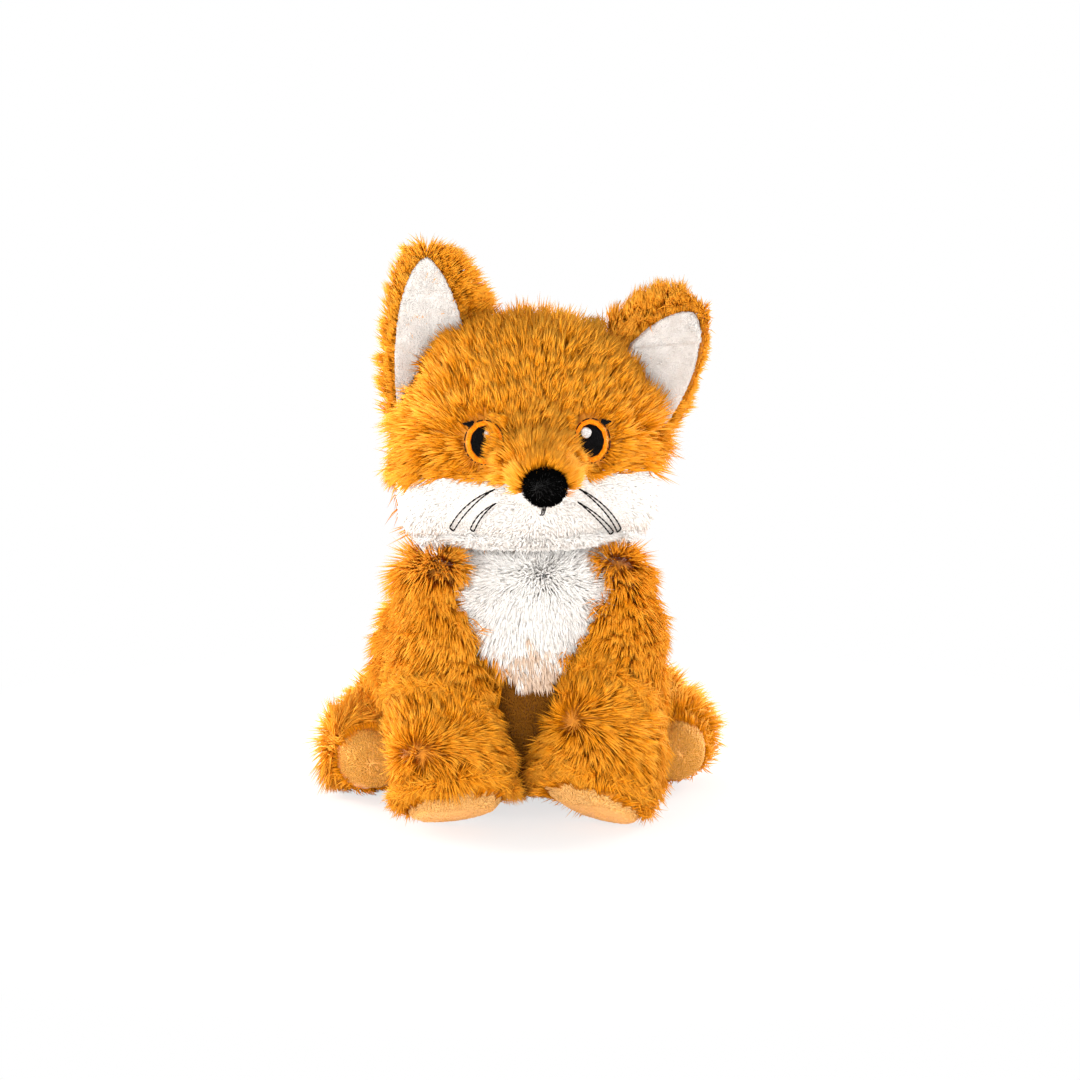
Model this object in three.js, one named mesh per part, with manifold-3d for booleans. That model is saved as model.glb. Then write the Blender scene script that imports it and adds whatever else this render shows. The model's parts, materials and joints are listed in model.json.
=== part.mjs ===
// A plush coyote that sits up: sewn plush covers over loose stuffing, with a pouch of pellets in the seat.
// Sizes are in millimetres. +Z is up, the toy faces -Y, its left side is +X, and the origin is under
// the seat.
import * as THREE from "three";
import { mergeVertices } from "three/addons/utils/BufferGeometryUtils.js";
import Module from "manifold-3d";

const wasm = await Module();
wasm.setup();

// Cloth, seams and clearances shared by every piece
const plush = 4; // long-pile cloth, its backing with the pile lightly pressed
const shortPlush = 1.6; // the lower face's shorter pile, whose surface lies deeper than the gold's
const velboa = 1.8; // short-pile cloth of the soles, belly and ear linings
const seam = 0.3; // between two sewn panels, or a cover and what fills it
const jointGap = 0.6; // between pieces that turn against each other
const stitch = 1.1; // how far embroidery stands on the pile
const pileStep = plush - shortPlush;
const seatTrim = 0.5; // how deep the weight presses the seat and paws flat
const overrun = 15; // how far a cutting solid runs past what it cuts

const torso = {
  height: 93,
  halfWidth: 50,
  halfDepth: 41,
  widestHeight: 34,
  seatBack: 6, // how far the seat's middle lies behind the origin
  neckBack: 3,
  upperPower: 3, // how square the form is above its widest place, 2 being an ellipse
  lowerPower: 3.2,
};
const neck = { radius: 19 }; // its ball sits at the torso's full height
const bib = {
  halfWidth: 28,
  widestHeight: 84,
  waistHalfWidth: 17,
  waistHeight: 68,
  tipHalfWidth: 7,
  tipHeight: 50,
};
const belly = { halfWidth: 17, lowHeight: 6 };
const pouch = { halfWidth: 27, halfDepth: 24, height: 20, power: 3 };
const head = {
  clearance: 2, // of the jaw over the torso
  jawHeight: 32, // from the jaw up to the widest place
  crownHeight: 52, // from the widest place up to the crown
  halfWidth: 49,
  halfDepth: 39,
  forward: 6, // how far the skull's middle lies in front of the origin
  upperPower: 2.1,
  lowerPower: 3.6,
};
const skullBottom = torso.height + head.clearance;
// Heights on the face are measured up or down from the skull's widest place
const faceHeight = skullBottom + head.jawHeight;

// The seam between gold and white, from the side of the head over its crest to the nose
const cheek = {
  sideSeamDown: 2,
  crestSeamUp: 5,
  noseSeamDown: 4,
  back: 12,
  cornerRadius: 14,
};
const muzzle = {
  rootForward: 22, // from the skull's middle
  rootUp: 4,
  length: 36,
  droop: 7.5,
  rootHalfWidth: 17,
  tipHalfWidth: 14,
  rootHalfHeight: 16,
  tipHalfHeight: 13,
  rootPower: 4,
  tipPower: 2.6,
};
const nose = { down: 1, halfWidth: 8.2, halfHeight: 7.2, stand: 4.5 };
const mouth = { length: 5, width: 1.2 };
const eye = {
  across: 18.7,
  up: 12,
  outAngle: 18,
  upAngle: 7,
  halfWidth: 6.9,
  halfHeight: 7.7,
  ringWidth: 1.9,
  glintRadius: 1.9,
  glintIn: 1.6, // towards the muzzle
  glintUp: 2.9,
  lashAcrossShare: 0.72,
  lashUpShare: 0.62,
  lashLength: 4.6,
  lashWidth: 3.4,
};
// Each whisker is a slim crescent on the cheek, from its root by the nose to its tip
const upperWhisker = {
  rootAcross: 15.5,
  rootDown: 5,
  tipAcross: 30.5,
  tipDown: 20,
  bow: 3.6,
  width: 2.2,
};
const lowerWhisker = {
  rootAcross: 15,
  rootDown: 10,
  tipAcross: 23.5,
  tipDown: 20,
  bow: 2.2,
  width: 2.2,
};
// The right ear stands up and the left one flops outwards and forwards. Their places are measured from the
// middle of the seam that holds them: out from the head, back, and up. seatShare is how far up the skull's
// upper half that seam lies.
const ear = {
  seatBack: 2,
  halfWidth: 22,
  rootNarrowShare: 0.12, // how much narrower the ear is at its root
  cup: 3.2,
  tipPower: 2.3,
  sidePower: 1.6,
};
// Plush that shows round the lining, most of it on the side towards the crown
const liningBorder = { outside: 2, inside: 12, tip: 3.2 };
const noBorder = { outside: 0, inside: 0, tip: 0 };
// turnShare is how far the ear's width turns from level to the line of its seam
const rightEar = {
  seatShare: 0.675,
  turnShare: 0,
  rootIn: 8.5,
  rootDown: 21,
  bowIn: 9.5,
  bowBack: 4,
  bowUp: 8,
  tipIn: 0.5,
  tipBack: 2,
  tipUp: 41.4,
};
const leftEar = {
  seatShare: 0.54,
  turnShare: 1,
  rootIn: 9,
  rootDown: 12,
  bowOut: 6,
  bowBack: 4,
  bowUp: 14,
  tipOut: 20.5,
  tipForward: 17,
  tipUp: 27.2,
};
const frontLeg = {
  shoulderIn: 17.5, // from the torso's side to the ball's middle
  shoulderForward: 14,
  shoulderDown: 10.8, // from the top of the torso
  shoulderRadius: 14,
  lead: 2.2, // how far above the ball's middle the sleeve starts
  kneeIn: 16,
  kneeForward: 33,
  kneeHeight: 38,
  pawIn: 25.5,
  pawForward: 51,
  pawHeight: 4.3,
  kneeHalfWidth: 18,
  kneeHalfDepth: 16,
  pawHalfWidth: 23,
  pawHalfDepth: 18,
  shoulderPower: 16,
  pawPower: 4.5,
  padDepth: 5,
  sideShift: 6, // both front paws sit this far to the toy's right
};
const hindLeg = {
  haunchIn: 23, // from the torso's side
  haunchBack: 40,
  haunchHeight: 40,
  kneeOut: 1,
  kneeBack: 26,
  kneeHeight: 16,
  soleOut: 8.5,
  soleForward: 8,
  soleHeight: 15,
  hingeIn: 20, // the upright line that the leg splays about
  hingeBack: 26,
  haunchRadius: 23.5,
  soleRadius: 19,
  haunchPower: 2.5,
  solePower: 2.6,
  padDepth: 5,
};
const tail = {
  rootInset: 3, // from the torso's back to the ball's middle
  rootHeight: 22,
  bendBack: 40, // from the root
  bendHeight: 12,
  tipBack: 48,
  tipHeight: 84,
  rootRadius: 9,
  halfWidth: 15.5,
  swellPower: 0.8,
  rootPower: 9,
  tipPower: 1.9,
  tipStartShare: 0.68, // where the white tip is sewn on, along the tail
};
// Joint limits in degrees, which the clearances are cut for
const swingAngle = 30;
const splayAngle = 20;
const earAngle = 15;
const wagAngle = 25;

const colours = {
  gold: new THREE.MeshStandardMaterial({ color: 0xd9973a, roughness: 0.95 }),
  white: new THREE.MeshStandardMaterial({ color: 0xf3f0ec, roughness: 0.95 }),
  tan: new THREE.MeshStandardMaterial({ color: 0xd9a560, roughness: 0.9 }),
  black: new THREE.MeshStandardMaterial({ color: 0x0c0b0c, roughness: 0.8 }),
  orange: new THREE.MeshStandardMaterial({ color: 0xf0930c, roughness: 0.5 }),
  fibre: new THREE.MeshStandardMaterial({ color: 0xe9e9ea, roughness: 1 }),
  linen: new THREE.MeshStandardMaterial({ color: 0xcfc7b8, roughness: 1 }),
};

// Solids

function solid(geometry) {
  const bare = geometry.clone();
  bare.deleteAttribute("normal");
  bare.deleteAttribute("uv");
  const merged = mergeVertices(bare);
  return new wasm.Manifold(
    new wasm.Mesh({
      numProp: 3,
      vertProperties: merged.attributes.position.array,
      triVerts: new Uint32Array(merged.index.array),
    }),
  );
}

function moved(shape, matrix) {
  return shape.transform(matrix.elements);
}

function ball(x, y, z, radius, sides = 14) {
  const geometry = new THREE.SphereGeometry(radius, sides, sides / 2);
  return solid(geometry.translate(x, y, z));
}

// A flat outline in X and Z, pushed through the toy from its front to the plane y = back
function frontCutter(shape, front, back) {
  const geometry = new THREE.ExtrudeGeometry(shape, {
    depth: back - front,
    bevelEnabled: false,
    curveSegments: 8,
  });
  return solid(geometry.rotateX(Math.PI / 2).translate(0, back, 0));
}

function halfSpace(point, direction, reach) {
  const box = new THREE.BoxGeometry(reach * 2, reach * 2, reach);
  const turn = new THREE.Quaternion().setFromUnitVectors(
    new THREE.Vector3(0, 0, 1),
    direction,
  );
  box.translate(0, 0, reach / 2).applyQuaternion(turn);
  return solid(box.translate(point.x, point.y, point.z));
}

// A solid from its corners and triangles, turned so that its faces look outwards
function facesOut(position, index) {
  const geometry = new THREE.BufferGeometry();
  geometry.setAttribute(
    "position",
    new THREE.BufferAttribute(new Float32Array(position), 3),
  );
  geometry.setIndex(index);
  const made = solid(geometry);
  if (made.volume() > 0) return made;
  geometry.setIndex(index.reverse());
  return solid(geometry);
}

// Elliptical rings along a spine, closed by a pole at each end. Each station gives its centre, its two
// side directions and the two half sizes along them.
function loft(stations, startPole, endPole, sides) {
  const position = [...startPole.toArray()];
  for (const { centre, wide, deep, halfWidth, halfDepth } of stations) {
    for (let i = 0; i < sides; i++) {
      const angle = (2 * Math.PI * i) / sides;
      const point = centre
        .clone()
        .addScaledVector(wide, halfWidth * Math.cos(angle))
        .addScaledVector(deep, halfDepth * Math.sin(angle));
      position.push(...point.toArray());
    }
  }
  position.push(...endPole.toArray());
  const last = stations.length * sides + 1;
  const index = [];
  for (let i = 0; i < sides; i++) {
    const next = (i + 1) % sides;
    index.push(0, 1 + next, 1 + i);
    index.push(last, last - sides + i, last - sides + next);
    for (let ring = 0; ring + 1 < stations.length; ring++) {
      const low = 1 + ring * sides;
      const high = low + sides;
      index.push(low + i, low + next, high + next);
      index.push(low + i, high + next, high + i);
    }
  }
  return facesOut(position, index);
}

// How full a rounded end is at share s from the widest place (0) to the pole (1)
function fullness(s, power) {
  return Math.pow(1 - Math.pow(Math.min(s, 1), power), 1 / power);
}

// Shares of a spine's length, closer together towards both ends
function stationShares(rings) {
  const shares = [];
  for (let i = 1; i <= rings; i++) {
    shares.push((1 - Math.cos((Math.PI * i) / (rings + 1))) / 2);
  }
  return shares;
}

// An upright stuffed form, such as the torso or the skull, widest at one height
function eggForm(size, grow, sides, rings) {
  const bottom = size.bottom - grow;
  const top = size.top + grow;
  const yAt = (z) =>
    size.lowY + ((size.highY - size.lowY) * (z - bottom)) / (top - bottom);
  const stations = stationShares(rings).map((share) => {
    const z = bottom + (top - bottom) * share;
    const above = z > size.widestHeight;
    const reach = above ? top - size.widestHeight : size.widestHeight - bottom;
    const power = above ? size.upperPower : size.lowerPower;
    const full = fullness(Math.abs(z - size.widestHeight) / reach, power);
    return {
      centre: new THREE.Vector3(0, yAt(z), z),
      wide: new THREE.Vector3(1, 0, 0),
      deep: new THREE.Vector3(0, 1, 0),
      halfWidth: (size.halfWidth + grow) * full,
      halfDepth: (size.halfDepth + grow) * full,
    };
  });
  return loft(
    stations,
    new THREE.Vector3(0, yAt(bottom), bottom),
    new THREE.Vector3(0, yAt(top), top),
    sides,
  );
}

// A stuffed limb along a curved spine. halfAt gives its two half sizes at a share of its length.
function limbForm({ spine, halfAt, startPower, endPower }, grow, sides, rings) {
  const length = spine.getLength();
  const full = length + 2 * grow;
  const placeAt = (share) => {
    const along = share * full - grow;
    const inside = Math.min(Math.max(along / length, 0), 1);
    const tangent = spine.getTangentAt(inside);
    const centre = spine
      .getPointAt(inside)
      .addScaledVector(tangent, along - inside * length);
    return { centre, tangent, inside };
  };
  const stations = stationShares(rings).map((share) => {
    const { centre, tangent, inside } = placeAt(share);
    const wide = new THREE.Vector3(1, 0, 0);
    wide.addScaledVector(tangent, -wide.dot(tangent)).normalize();
    const deep = new THREE.Vector3().crossVectors(tangent, wide);
    const [halfWidth, halfDepth] = halfAt(inside);
    const end = share < 0.5 ? 1 - 2 * share : 2 * share - 1;
    const round = fullness(end, share < 0.5 ? startPower : endPower);
    return {
      centre,
      wide,
      deep,
      halfWidth: (halfWidth + grow) * round,
      halfDepth: (halfDepth + grow) * round,
    };
  });
  return loft(stations, placeAt(0).centre, placeAt(1).centre, sides);
}

// What is left of a solid once a neighbour has been cut from it at each of the angles that it turns through
function clearOf(shape, neighbour, pivot, axis, angles) {
  return angles.reduce((left, degrees) => {
    const turn = new THREE.Matrix4().makeRotationAxis(
      axis,
      THREE.MathUtils.degToRad(-degrees),
    );
    const there = new THREE.Matrix4().makeTranslation(pivot);
    const back = new THREE.Matrix4().makeTranslation(pivot.clone().negate());
    return left.subtract(moved(neighbour, there.multiply(turn).multiply(back)));
  }, shape);
}

const floorBox = halfSpace(
  new THREE.Vector3(0, 0, 0),
  new THREE.Vector3(0, 0, -1),
  torso.height * 2,
);

// Forms, each a function of how far its surface is grown or shrunk

// Sides and rings of each form, on its outside and on the inside of its cover
const outer = { torso: [22, 11], head: [24, 12], limb: [14, 9] };
const inner = { torso: [14, 7], head: [16, 8], limb: [10, 6] };
const socketSides = 24; // enough for a turned ball to clear the facets of its socket

function torsoForm(grow, [sides, rings] = outer.torso) {
  const size = {
    ...torso,
    bottom: -seatTrim,
    top: torso.height,
    lowY: torso.seatBack,
    highY: torso.neckBack,
  };
  return eggForm(size, grow, sides, rings);
}

const skull = {
  ...head,
  bottom: skullBottom,
  widestHeight: faceHeight,
  top: faceHeight + head.crownHeight,
  lowY: -head.forward,
  highY: -head.forward,
};

function headForm(grow, [sides, rings] = outer.head) {
  return eggForm(skull, grow, sides, rings);
}

const muzzleRoot = new THREE.Vector3(
  0,
  -head.forward - muzzle.rootForward,
  faceHeight + muzzle.rootUp,
);
const muzzleTip = new THREE.Vector3(
  0,
  muzzleRoot.y - muzzle.length,
  muzzleRoot.z - muzzle.droop,
);

function muzzleForm(grow, [sides, rings] = outer.limb) {
  const spine = new THREE.LineCurve3(muzzleRoot, muzzleTip);
  const halfAt = (share) => [
    THREE.MathUtils.lerp(muzzle.rootHalfWidth, muzzle.tipHalfWidth, share),
    THREE.MathUtils.lerp(muzzle.rootHalfHeight, muzzle.tipHalfHeight, share),
  ];
  const { rootPower, tipPower } = muzzle;
  const shape = { spine, halfAt, startPower: rootPower, endPower: tipPower };
  return limbForm(shape, grow, sides, rings);
}

function shoulderPoint(side) {
  const x = torso.halfWidth - frontLeg.shoulderIn;
  const z = torso.height - frontLeg.shoulderDown;
  return new THREE.Vector3(side * x, -frontLeg.shoulderForward, z);
}

// The sleeve's middle line starts a little above the shoulder, inside the ball that turns there
function frontLegSpine(side) {
  const { kneeIn, kneeForward, kneeHeight, pawIn, pawForward, pawHeight } = frontLeg;
  const at = (inwards, forward, z) =>
    new THREE.Vector3(side * (torso.halfWidth - inwards), -forward, z);
  const knee = at(kneeIn, kneeForward, kneeHeight);
  const paw = at(pawIn, pawForward, pawHeight);
  paw.x -= frontLeg.sideShift;
  const shoulder = shoulderPoint(side);
  const up = shoulder.clone().sub(knee).normalize();
  const start = shoulder.addScaledVector(up, frontLeg.lead);
  return new THREE.QuadraticBezierCurve3(start, knee, paw);
}

function frontLegForm(side, grow, [sides, rings] = outer.limb) {
  const { shoulderRadius, kneeHalfWidth, kneeHalfDepth } = frontLeg;
  const widths = [shoulderRadius, kneeHalfWidth, frontLeg.pawHalfWidth];
  const depths = [shoulderRadius, kneeHalfDepth, frontLeg.pawHalfDepth];
  const between = (sizes, share) =>
    share < 1 / 2
      ? THREE.MathUtils.lerp(sizes[0], sizes[1], share * 2)
      : THREE.MathUtils.lerp(sizes[1], sizes[2], share * 2 - 1);
  const shape = {
    spine: frontLegSpine(side),
    halfAt: (share) => [between(widths, share), between(depths, share)],
    startPower: frontLeg.shoulderPower,
    endPower: frontLeg.pawPower,
  };
  const { x, y, z } = shoulderPoint(side);
  return limbForm(shape, grow, sides, rings).add(
    ball(x, y, z, shoulderRadius + grow, sides),
  );
}

function hindLegSpine(side) {
  const at = (out, y, z) =>
    new THREE.Vector3(side * (torso.halfWidth + out), y, z);
  return new THREE.QuadraticBezierCurve3(
    at(-hindLeg.haunchIn, hindLeg.haunchBack, hindLeg.haunchHeight),
    at(hindLeg.kneeOut, hindLeg.kneeBack, hindLeg.kneeHeight),
    at(hindLeg.soleOut, -hindLeg.soleForward, hindLeg.soleHeight),
  );
}

function hindLegForm(side, grow, [sides, rings] = outer.limb) {
  const { haunchRadius, soleRadius, haunchPower, solePower } = hindLeg;
  const halfAt = (share) => {
    const radius = THREE.MathUtils.lerp(haunchRadius, soleRadius, share);
    return [radius, radius];
  };
  const spine = hindLegSpine(side);
  const shape = { spine, halfAt, startPower: haunchPower, endPower: solePower };
  return limbForm(shape, grow, sides, rings);
}

const tailRoot = new THREE.Vector3(
  0,
  torso.seatBack + torso.halfDepth - tail.rootInset,
  tail.rootHeight,
);

function tailSpine() {
  const at = (back, z) => new THREE.Vector3(0, tailRoot.y + back, z);
  return new THREE.QuadraticBezierCurve3(
    tailRoot,
    at(tail.bendBack, tail.bendHeight),
    at(tail.tipBack, tail.tipHeight),
  );
}

function tailForm(grow, [sides, rings] = outer.limb) {
  const { rootRadius, halfWidth } = tail;
  const halfAt = (share) => {
    const swell = Math.sin(Math.PI * Math.pow(share, tail.swellPower));
    const radius = rootRadius + (halfWidth - rootRadius) * Math.max(swell, 0);
    return [radius, radius];
  };
  const { rootPower, tipPower } = tail;
  const spine = tailSpine();
  const shape = { spine, halfAt, startPower: rootPower, endPower: tipPower };
  return limbForm(shape, grow, sides, rings).add(
    ball(0, tailRoot.y, tailRoot.z, rootRadius + grow, sides),
  );
}

// Places shared by neighbours

const neckBall = (grow) =>
  ball(0, torso.neckBack, torso.height, neck.radius + grow, 18);
const sides = { right: -1, left: 1 };

// The white lower face is what lies under and in front of this cutter's edge, drawn from the side
function cheekRegion(grow) {
  const front = muzzleTip.y - overrun;
  const low = skullBottom - overrun;
  const back = cheek.back + grow;
  const sideSeam = faceHeight - cheek.sideSeamDown;
  const outline = new THREE.Shape();
  outline.moveTo(front, low);
  outline.lineTo(back, low);
  outline.lineTo(back, sideSeam - cheek.cornerRadius);
  outline.quadraticCurveTo(
    back,
    sideSeam + grow,
    cheek.back - cheek.cornerRadius,
    sideSeam + grow,
  );
  outline.quadraticCurveTo(
    muzzleRoot.y,
    faceHeight + cheek.crestSeamUp + grow,
    front,
    faceHeight - cheek.noseSeamDown + grow,
  );
  outline.closePath();
  const width = head.halfWidth + overrun;
  const geometry = new THREE.ExtrudeGeometry(outline, {
    depth: width * 2,
    bevelEnabled: false,
    curveSegments: 6,
  });
  // The outline's x is the toy's y, and its y is the toy's z
  geometry.rotateX(Math.PI / 2).rotateZ(Math.PI / 2);
  return solid(geometry.translate(-width, 0, 0));
}

function bibCutter(grow) {
  const outline = new THREE.Shape();
  const wide = bib.halfWidth + grow;
  const waist = bib.waistHalfWidth + grow;
  const tip = bib.tipHalfWidth + grow;
  const low = bib.tipHeight - grow;
  const high = torso.height + overrun;
  outline.moveTo(wide, high);
  outline.lineTo(-wide, high);
  outline.lineTo(-wide, bib.widestHeight);
  outline.quadraticCurveTo(-waist, bib.waistHeight, -tip, low + tip / 2);
  outline.quadraticCurveTo(0, low, tip, low + tip / 2);
  outline.quadraticCurveTo(waist, bib.waistHeight, wide, bib.widestHeight);
  outline.closePath();
  return frontCutter(outline, -torso.halfDepth - overrun, 0);
}

function bellyCutter(grow) {
  const wide = belly.halfWidth + grow;
  const low = belly.lowHeight - grow;
  const high = bib.waistHeight;
  const outline = new THREE.Shape();
  outline.moveTo(wide, low + wide / 2);
  outline.lineTo(wide / 2, high);
  outline.lineTo(-wide / 2, high);
  outline.lineTo(-wide, low + wide / 2);
  outline.quadraticCurveTo(-wide, low, 0, low);
  outline.quadraticCurveTo(wide, low, wide, low + wide / 2);
  outline.closePath();
  return frontCutter(outline, -torso.halfDepth - overrun, 0);
}

// An outline pushed through the face along the view of its own frame
function through(outline, frame, depth) {
  const geometry = new THREE.ExtrudeGeometry(outline, {
    depth,
    bevelEnabled: false,
    curveSegments: 6,
  });
  return moved(solid(geometry), frame);
}

// Embroidery: what a prism leaves of a thin layer on the cover
function embroidered(prism, cover) {
  return prism.intersect(cover(seam + stitch)).subtract(cover(seam));
}

// Torso

const socket = ({ x, y, z }, radius) => ball(x, y, z, radius + jointGap, socketSides);
const sockets = [neckBall(jointGap), socket(tailRoot, tail.rootRadius)];
for (const side of Object.values(sides)) {
  sockets.push(socket(shoulderPoint(side), frontLeg.shoulderRadius));
}
const withoutSockets = (shape) =>
  sockets.reduce((left, hollow) => left.subtract(hollow), shape);

const torsoShell = withoutSockets(
  torsoForm(0).subtract(torsoForm(-plush, inner.torso)),
).subtract(floorBox);
const bibShell = torsoShell.intersect(bibCutter(0));
const bellyShell = torsoShell.intersect(bellyCutter(0)).subtract(bibCutter(seam));
const torsoSkin = torsoShell.subtract(bibCutter(seam)).subtract(bellyCutter(seam));

const pouchFloor = plush - seatTrim + seam;
const pouchForm = (grow) =>
  eggForm(
    {
      bottom: pouchFloor,
      top: pouchFloor + pouch.height,
      widestHeight: pouchFloor + pouch.height / 2,
      halfWidth: pouch.halfWidth,
      halfDepth: pouch.halfDepth,
      lowY: torso.seatBack,
      highY: torso.seatBack,
      upperPower: pouch.power,
      lowerPower: pouch.power,
    },
    grow,
    14,
    6,
  );
const torsoInside = torsoForm(-plush - seam, inner.torso);
const torsoFill = withoutSockets(torsoInside).subtract(pouchForm(seam));
const pelletPouch = pouchForm(0).intersect(torsoInside);

// Head

const headOuter = headForm(0);
const headHollow = headForm(-plush, inner.head);
const muzzleHollow = muzzleForm(-plush, inner.limb);
const headShell = headOuter.subtract(headHollow).subtract(neckBall(jointGap));
const muzzleShell = muzzleForm(0)
  .subtract(muzzleHollow)
  .subtract(headForm(seam));
const headSkin = headShell.subtract(cheekRegion(seam));
const muzzleBridge = muzzleShell.subtract(cheekRegion(seam));
// The white lower face, in its shorter pile
const cheekPanel = headForm(-pileStep)
  .subtract(headHollow)
  .subtract(neckBall(jointGap))
  .intersect(cheekRegion(0));
const muzzleChin = muzzleForm(-pileStep)
  .subtract(muzzleHollow)
  .subtract(headForm(seam - pileStep))
  .intersect(cheekRegion(0));
const headFill = headForm(-plush - seam, inner.head).subtract(neckBall(jointGap));
const muzzleFill = muzzleForm(-plush - seam, inner.limb).subtract(headForm(seam));

const noseCentre = new THREE.Vector3(
  0,
  muzzleTip.y + nose.stand / 2,
  faceHeight - nose.down,
);
const noseForm = solid(
  new THREE.SphereGeometry(1, 14, 8)
    .scale(nose.halfWidth, nose.stand * 2, nose.halfHeight)
    .translate(noseCentre.x, noseCentre.y, noseCentre.z),
).subtract(muzzleForm(seam));

// The muzzle and skull together, which the face's embroidery lies on
const faceForm = (grow) => headForm(grow).add(muzzleForm(grow));
const lowerFaceForm = (grow) => faceForm(grow - pileStep);
const straightOn = facing(new THREE.Vector3(0, -head.forward, 0), 0, 0, 0);

// Where a line along Y meets the front of the skull's cover
function faceY(x, z) {
  const full = fullness((z - faceHeight) / head.crownHeight, head.upperPower);
  const across = x / (head.halfWidth * full);
  return -head.forward - head.halfDepth * full * Math.sqrt(1 - across * across);
}

// The frame of an outline that is seen square on from in front of the face: x to the toy's left, y up, and
// z out of the face, from a start that lies the given reach inside it
function facing(point, outAngle, upAngle, reach) {
  const turn = new THREE.Matrix4()
    .makeRotationZ(THREE.MathUtils.degToRad(outAngle))
    .multiply(
      new THREE.Matrix4().makeRotationX(Math.PI / 2 - THREE.MathUtils.degToRad(upAngle)),
    );
  const out = new THREE.Vector3(0, 0, 1).applyMatrix4(turn);
  return turn.setPosition(point.clone().addScaledVector(out, -reach));
}

function ellipse(halfWidth, halfHeight) {
  return new THREE.Shape().absellipse(0, 0, halfWidth, halfHeight, 0, 2 * Math.PI);
}

function eyePieces(side) {
  const z = faceHeight + eye.up;
  const at = new THREE.Vector3(side * eye.across, faceY(eye.across, z), z);
  const frame = facing(at, side * eye.outAngle, eye.upAngle, overrun);
  const prism = (outline) => through(outline, frame, 2 * overrun);
  const iris = (grow) =>
    prism(
      ellipse(
        eye.halfWidth - eye.ringWidth + grow,
        eye.halfHeight - eye.ringWidth + grow,
      ),
    );
  const glint = (grow) => {
    const x = -side * eye.glintIn;
    const radius = eye.glintRadius + grow;
    return prism(new THREE.Shape().absarc(x, eye.glintUp, radius, 0, 2 * Math.PI));
  };
  const patch = (shape) =>
    biggest(embroidered(shape, headForm).subtract(muzzleForm(seam)));
  const lash = new THREE.Shape();
  const lashX = side * eye.halfWidth * eye.lashAcrossShare;
  const lashY = eye.halfHeight * eye.lashUpShare;
  lash.moveTo(lashX, lashY);
  lash.lineTo(lashX + side * eye.lashLength, lashY + eye.lashWidth / 2);
  lash.lineTo(lashX - side * eye.ringWidth, lashY + eye.lashWidth);
  lash.closePath();
  const whole = prism(ellipse(eye.halfWidth, eye.halfHeight));
  const around = prism(ellipse(eye.halfWidth + seam, eye.halfHeight + seam));
  return {
    ring: patch(whole.subtract(iris(seam))),
    pupil: patch(iris(0).subtract(glint(seam))),
    glint: patch(glint(0)),
    lash: patch(prism(lash).subtract(around)),
  };
}

function whiskerPiece(side, size) {
  const { rootAcross, rootDown, tipAcross, tipDown, bow, width } = size;
  const outline = new THREE.Shape();
  const from = new THREE.Vector2(side * rootAcross, faceHeight - rootDown);
  const to = new THREE.Vector2(side * tipAcross, faceHeight - tipDown);
  const middle = from.clone().add(to).multiplyScalar(0.5);
  const across = to.clone().sub(from).normalize();
  across.set(-across.y * side, across.x * side);
  const outside = middle.clone().addScaledVector(across, bow + width / 2);
  const inside = middle.clone().addScaledVector(across, bow - width / 2);
  const end = to.clone().addScaledVector(across, -width);
  outline.moveTo(from.x, from.y);
  outline.quadraticCurveTo(outside.x, outside.y, to.x, to.y);
  outline.lineTo(end.x, end.y);
  outline.quadraticCurveTo(inside.x, inside.y, from.x, from.y);
  return embroidered(through(outline, straightOn, head.halfDepth * 2), lowerFaceForm);
}

const mouthPiece = (() => {
  const high = noseCentre.z - nose.halfHeight - seam;
  const outline = new THREE.Shape();
  outline.moveTo(-mouth.width / 2, high);
  outline.lineTo(-mouth.width / 2, high - mouth.length);
  outline.lineTo(mouth.width / 2, high - mouth.length);
  outline.lineTo(mouth.width / 2, high);
  outline.closePath();
  const prism = through(outline, straightOn, head.halfDepth * 2);
  return embroidered(prism, lowerFaceForm).subtract(noseForm.translate(0, 0, -seam));
})();

// Ears: a plush back and a velboa lining, two leaves that follow one cupped surface

function earSeat(side) {
  const { seatShare } = side < 0 ? rightEar : leftEar;
  const halfAt = (share) => head.halfWidth * fullness(share, head.upperPower);
  const point = new THREE.Vector3(
    side * halfAt(seatShare),
    ear.seatBack,
    faceHeight + head.crownHeight * seatShare,
  );
  const stepShare = 0.01;
  const inwards = halfAt(seatShare + stepShare) - halfAt(seatShare);
  const up = head.crownHeight * stepShare;
  const along = new THREE.Vector3(side * inwards, 0, up).normalize();
  return { point, along };
}

// The ear's middle line, from its root inside the skull to its tip
function earSpine(side) {
  const { point } = earSeat(side);
  const at = (out, back, up) =>
    point.clone().add(new THREE.Vector3(side * out, back, up));
  if (side < 0) {
    const { rootIn, rootDown, bowIn, bowBack, bowUp, tipIn, tipBack, tipUp } = rightEar;
    return new THREE.QuadraticBezierCurve3(
      at(-rootIn, 0, -rootDown),
      at(-bowIn, bowBack, bowUp),
      at(-tipIn, tipBack, tipUp),
    );
  }
  const { rootIn, rootDown, bowOut, bowBack, bowUp } = leftEar;
  const { tipOut, tipForward, tipUp } = leftEar;
  return new THREE.QuadraticBezierCurve3(
    at(-rootIn, 0, -rootDown),
    at(bowOut, bowBack, bowUp),
    at(tipOut, -tipForward, tipUp),
  );
}

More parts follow.
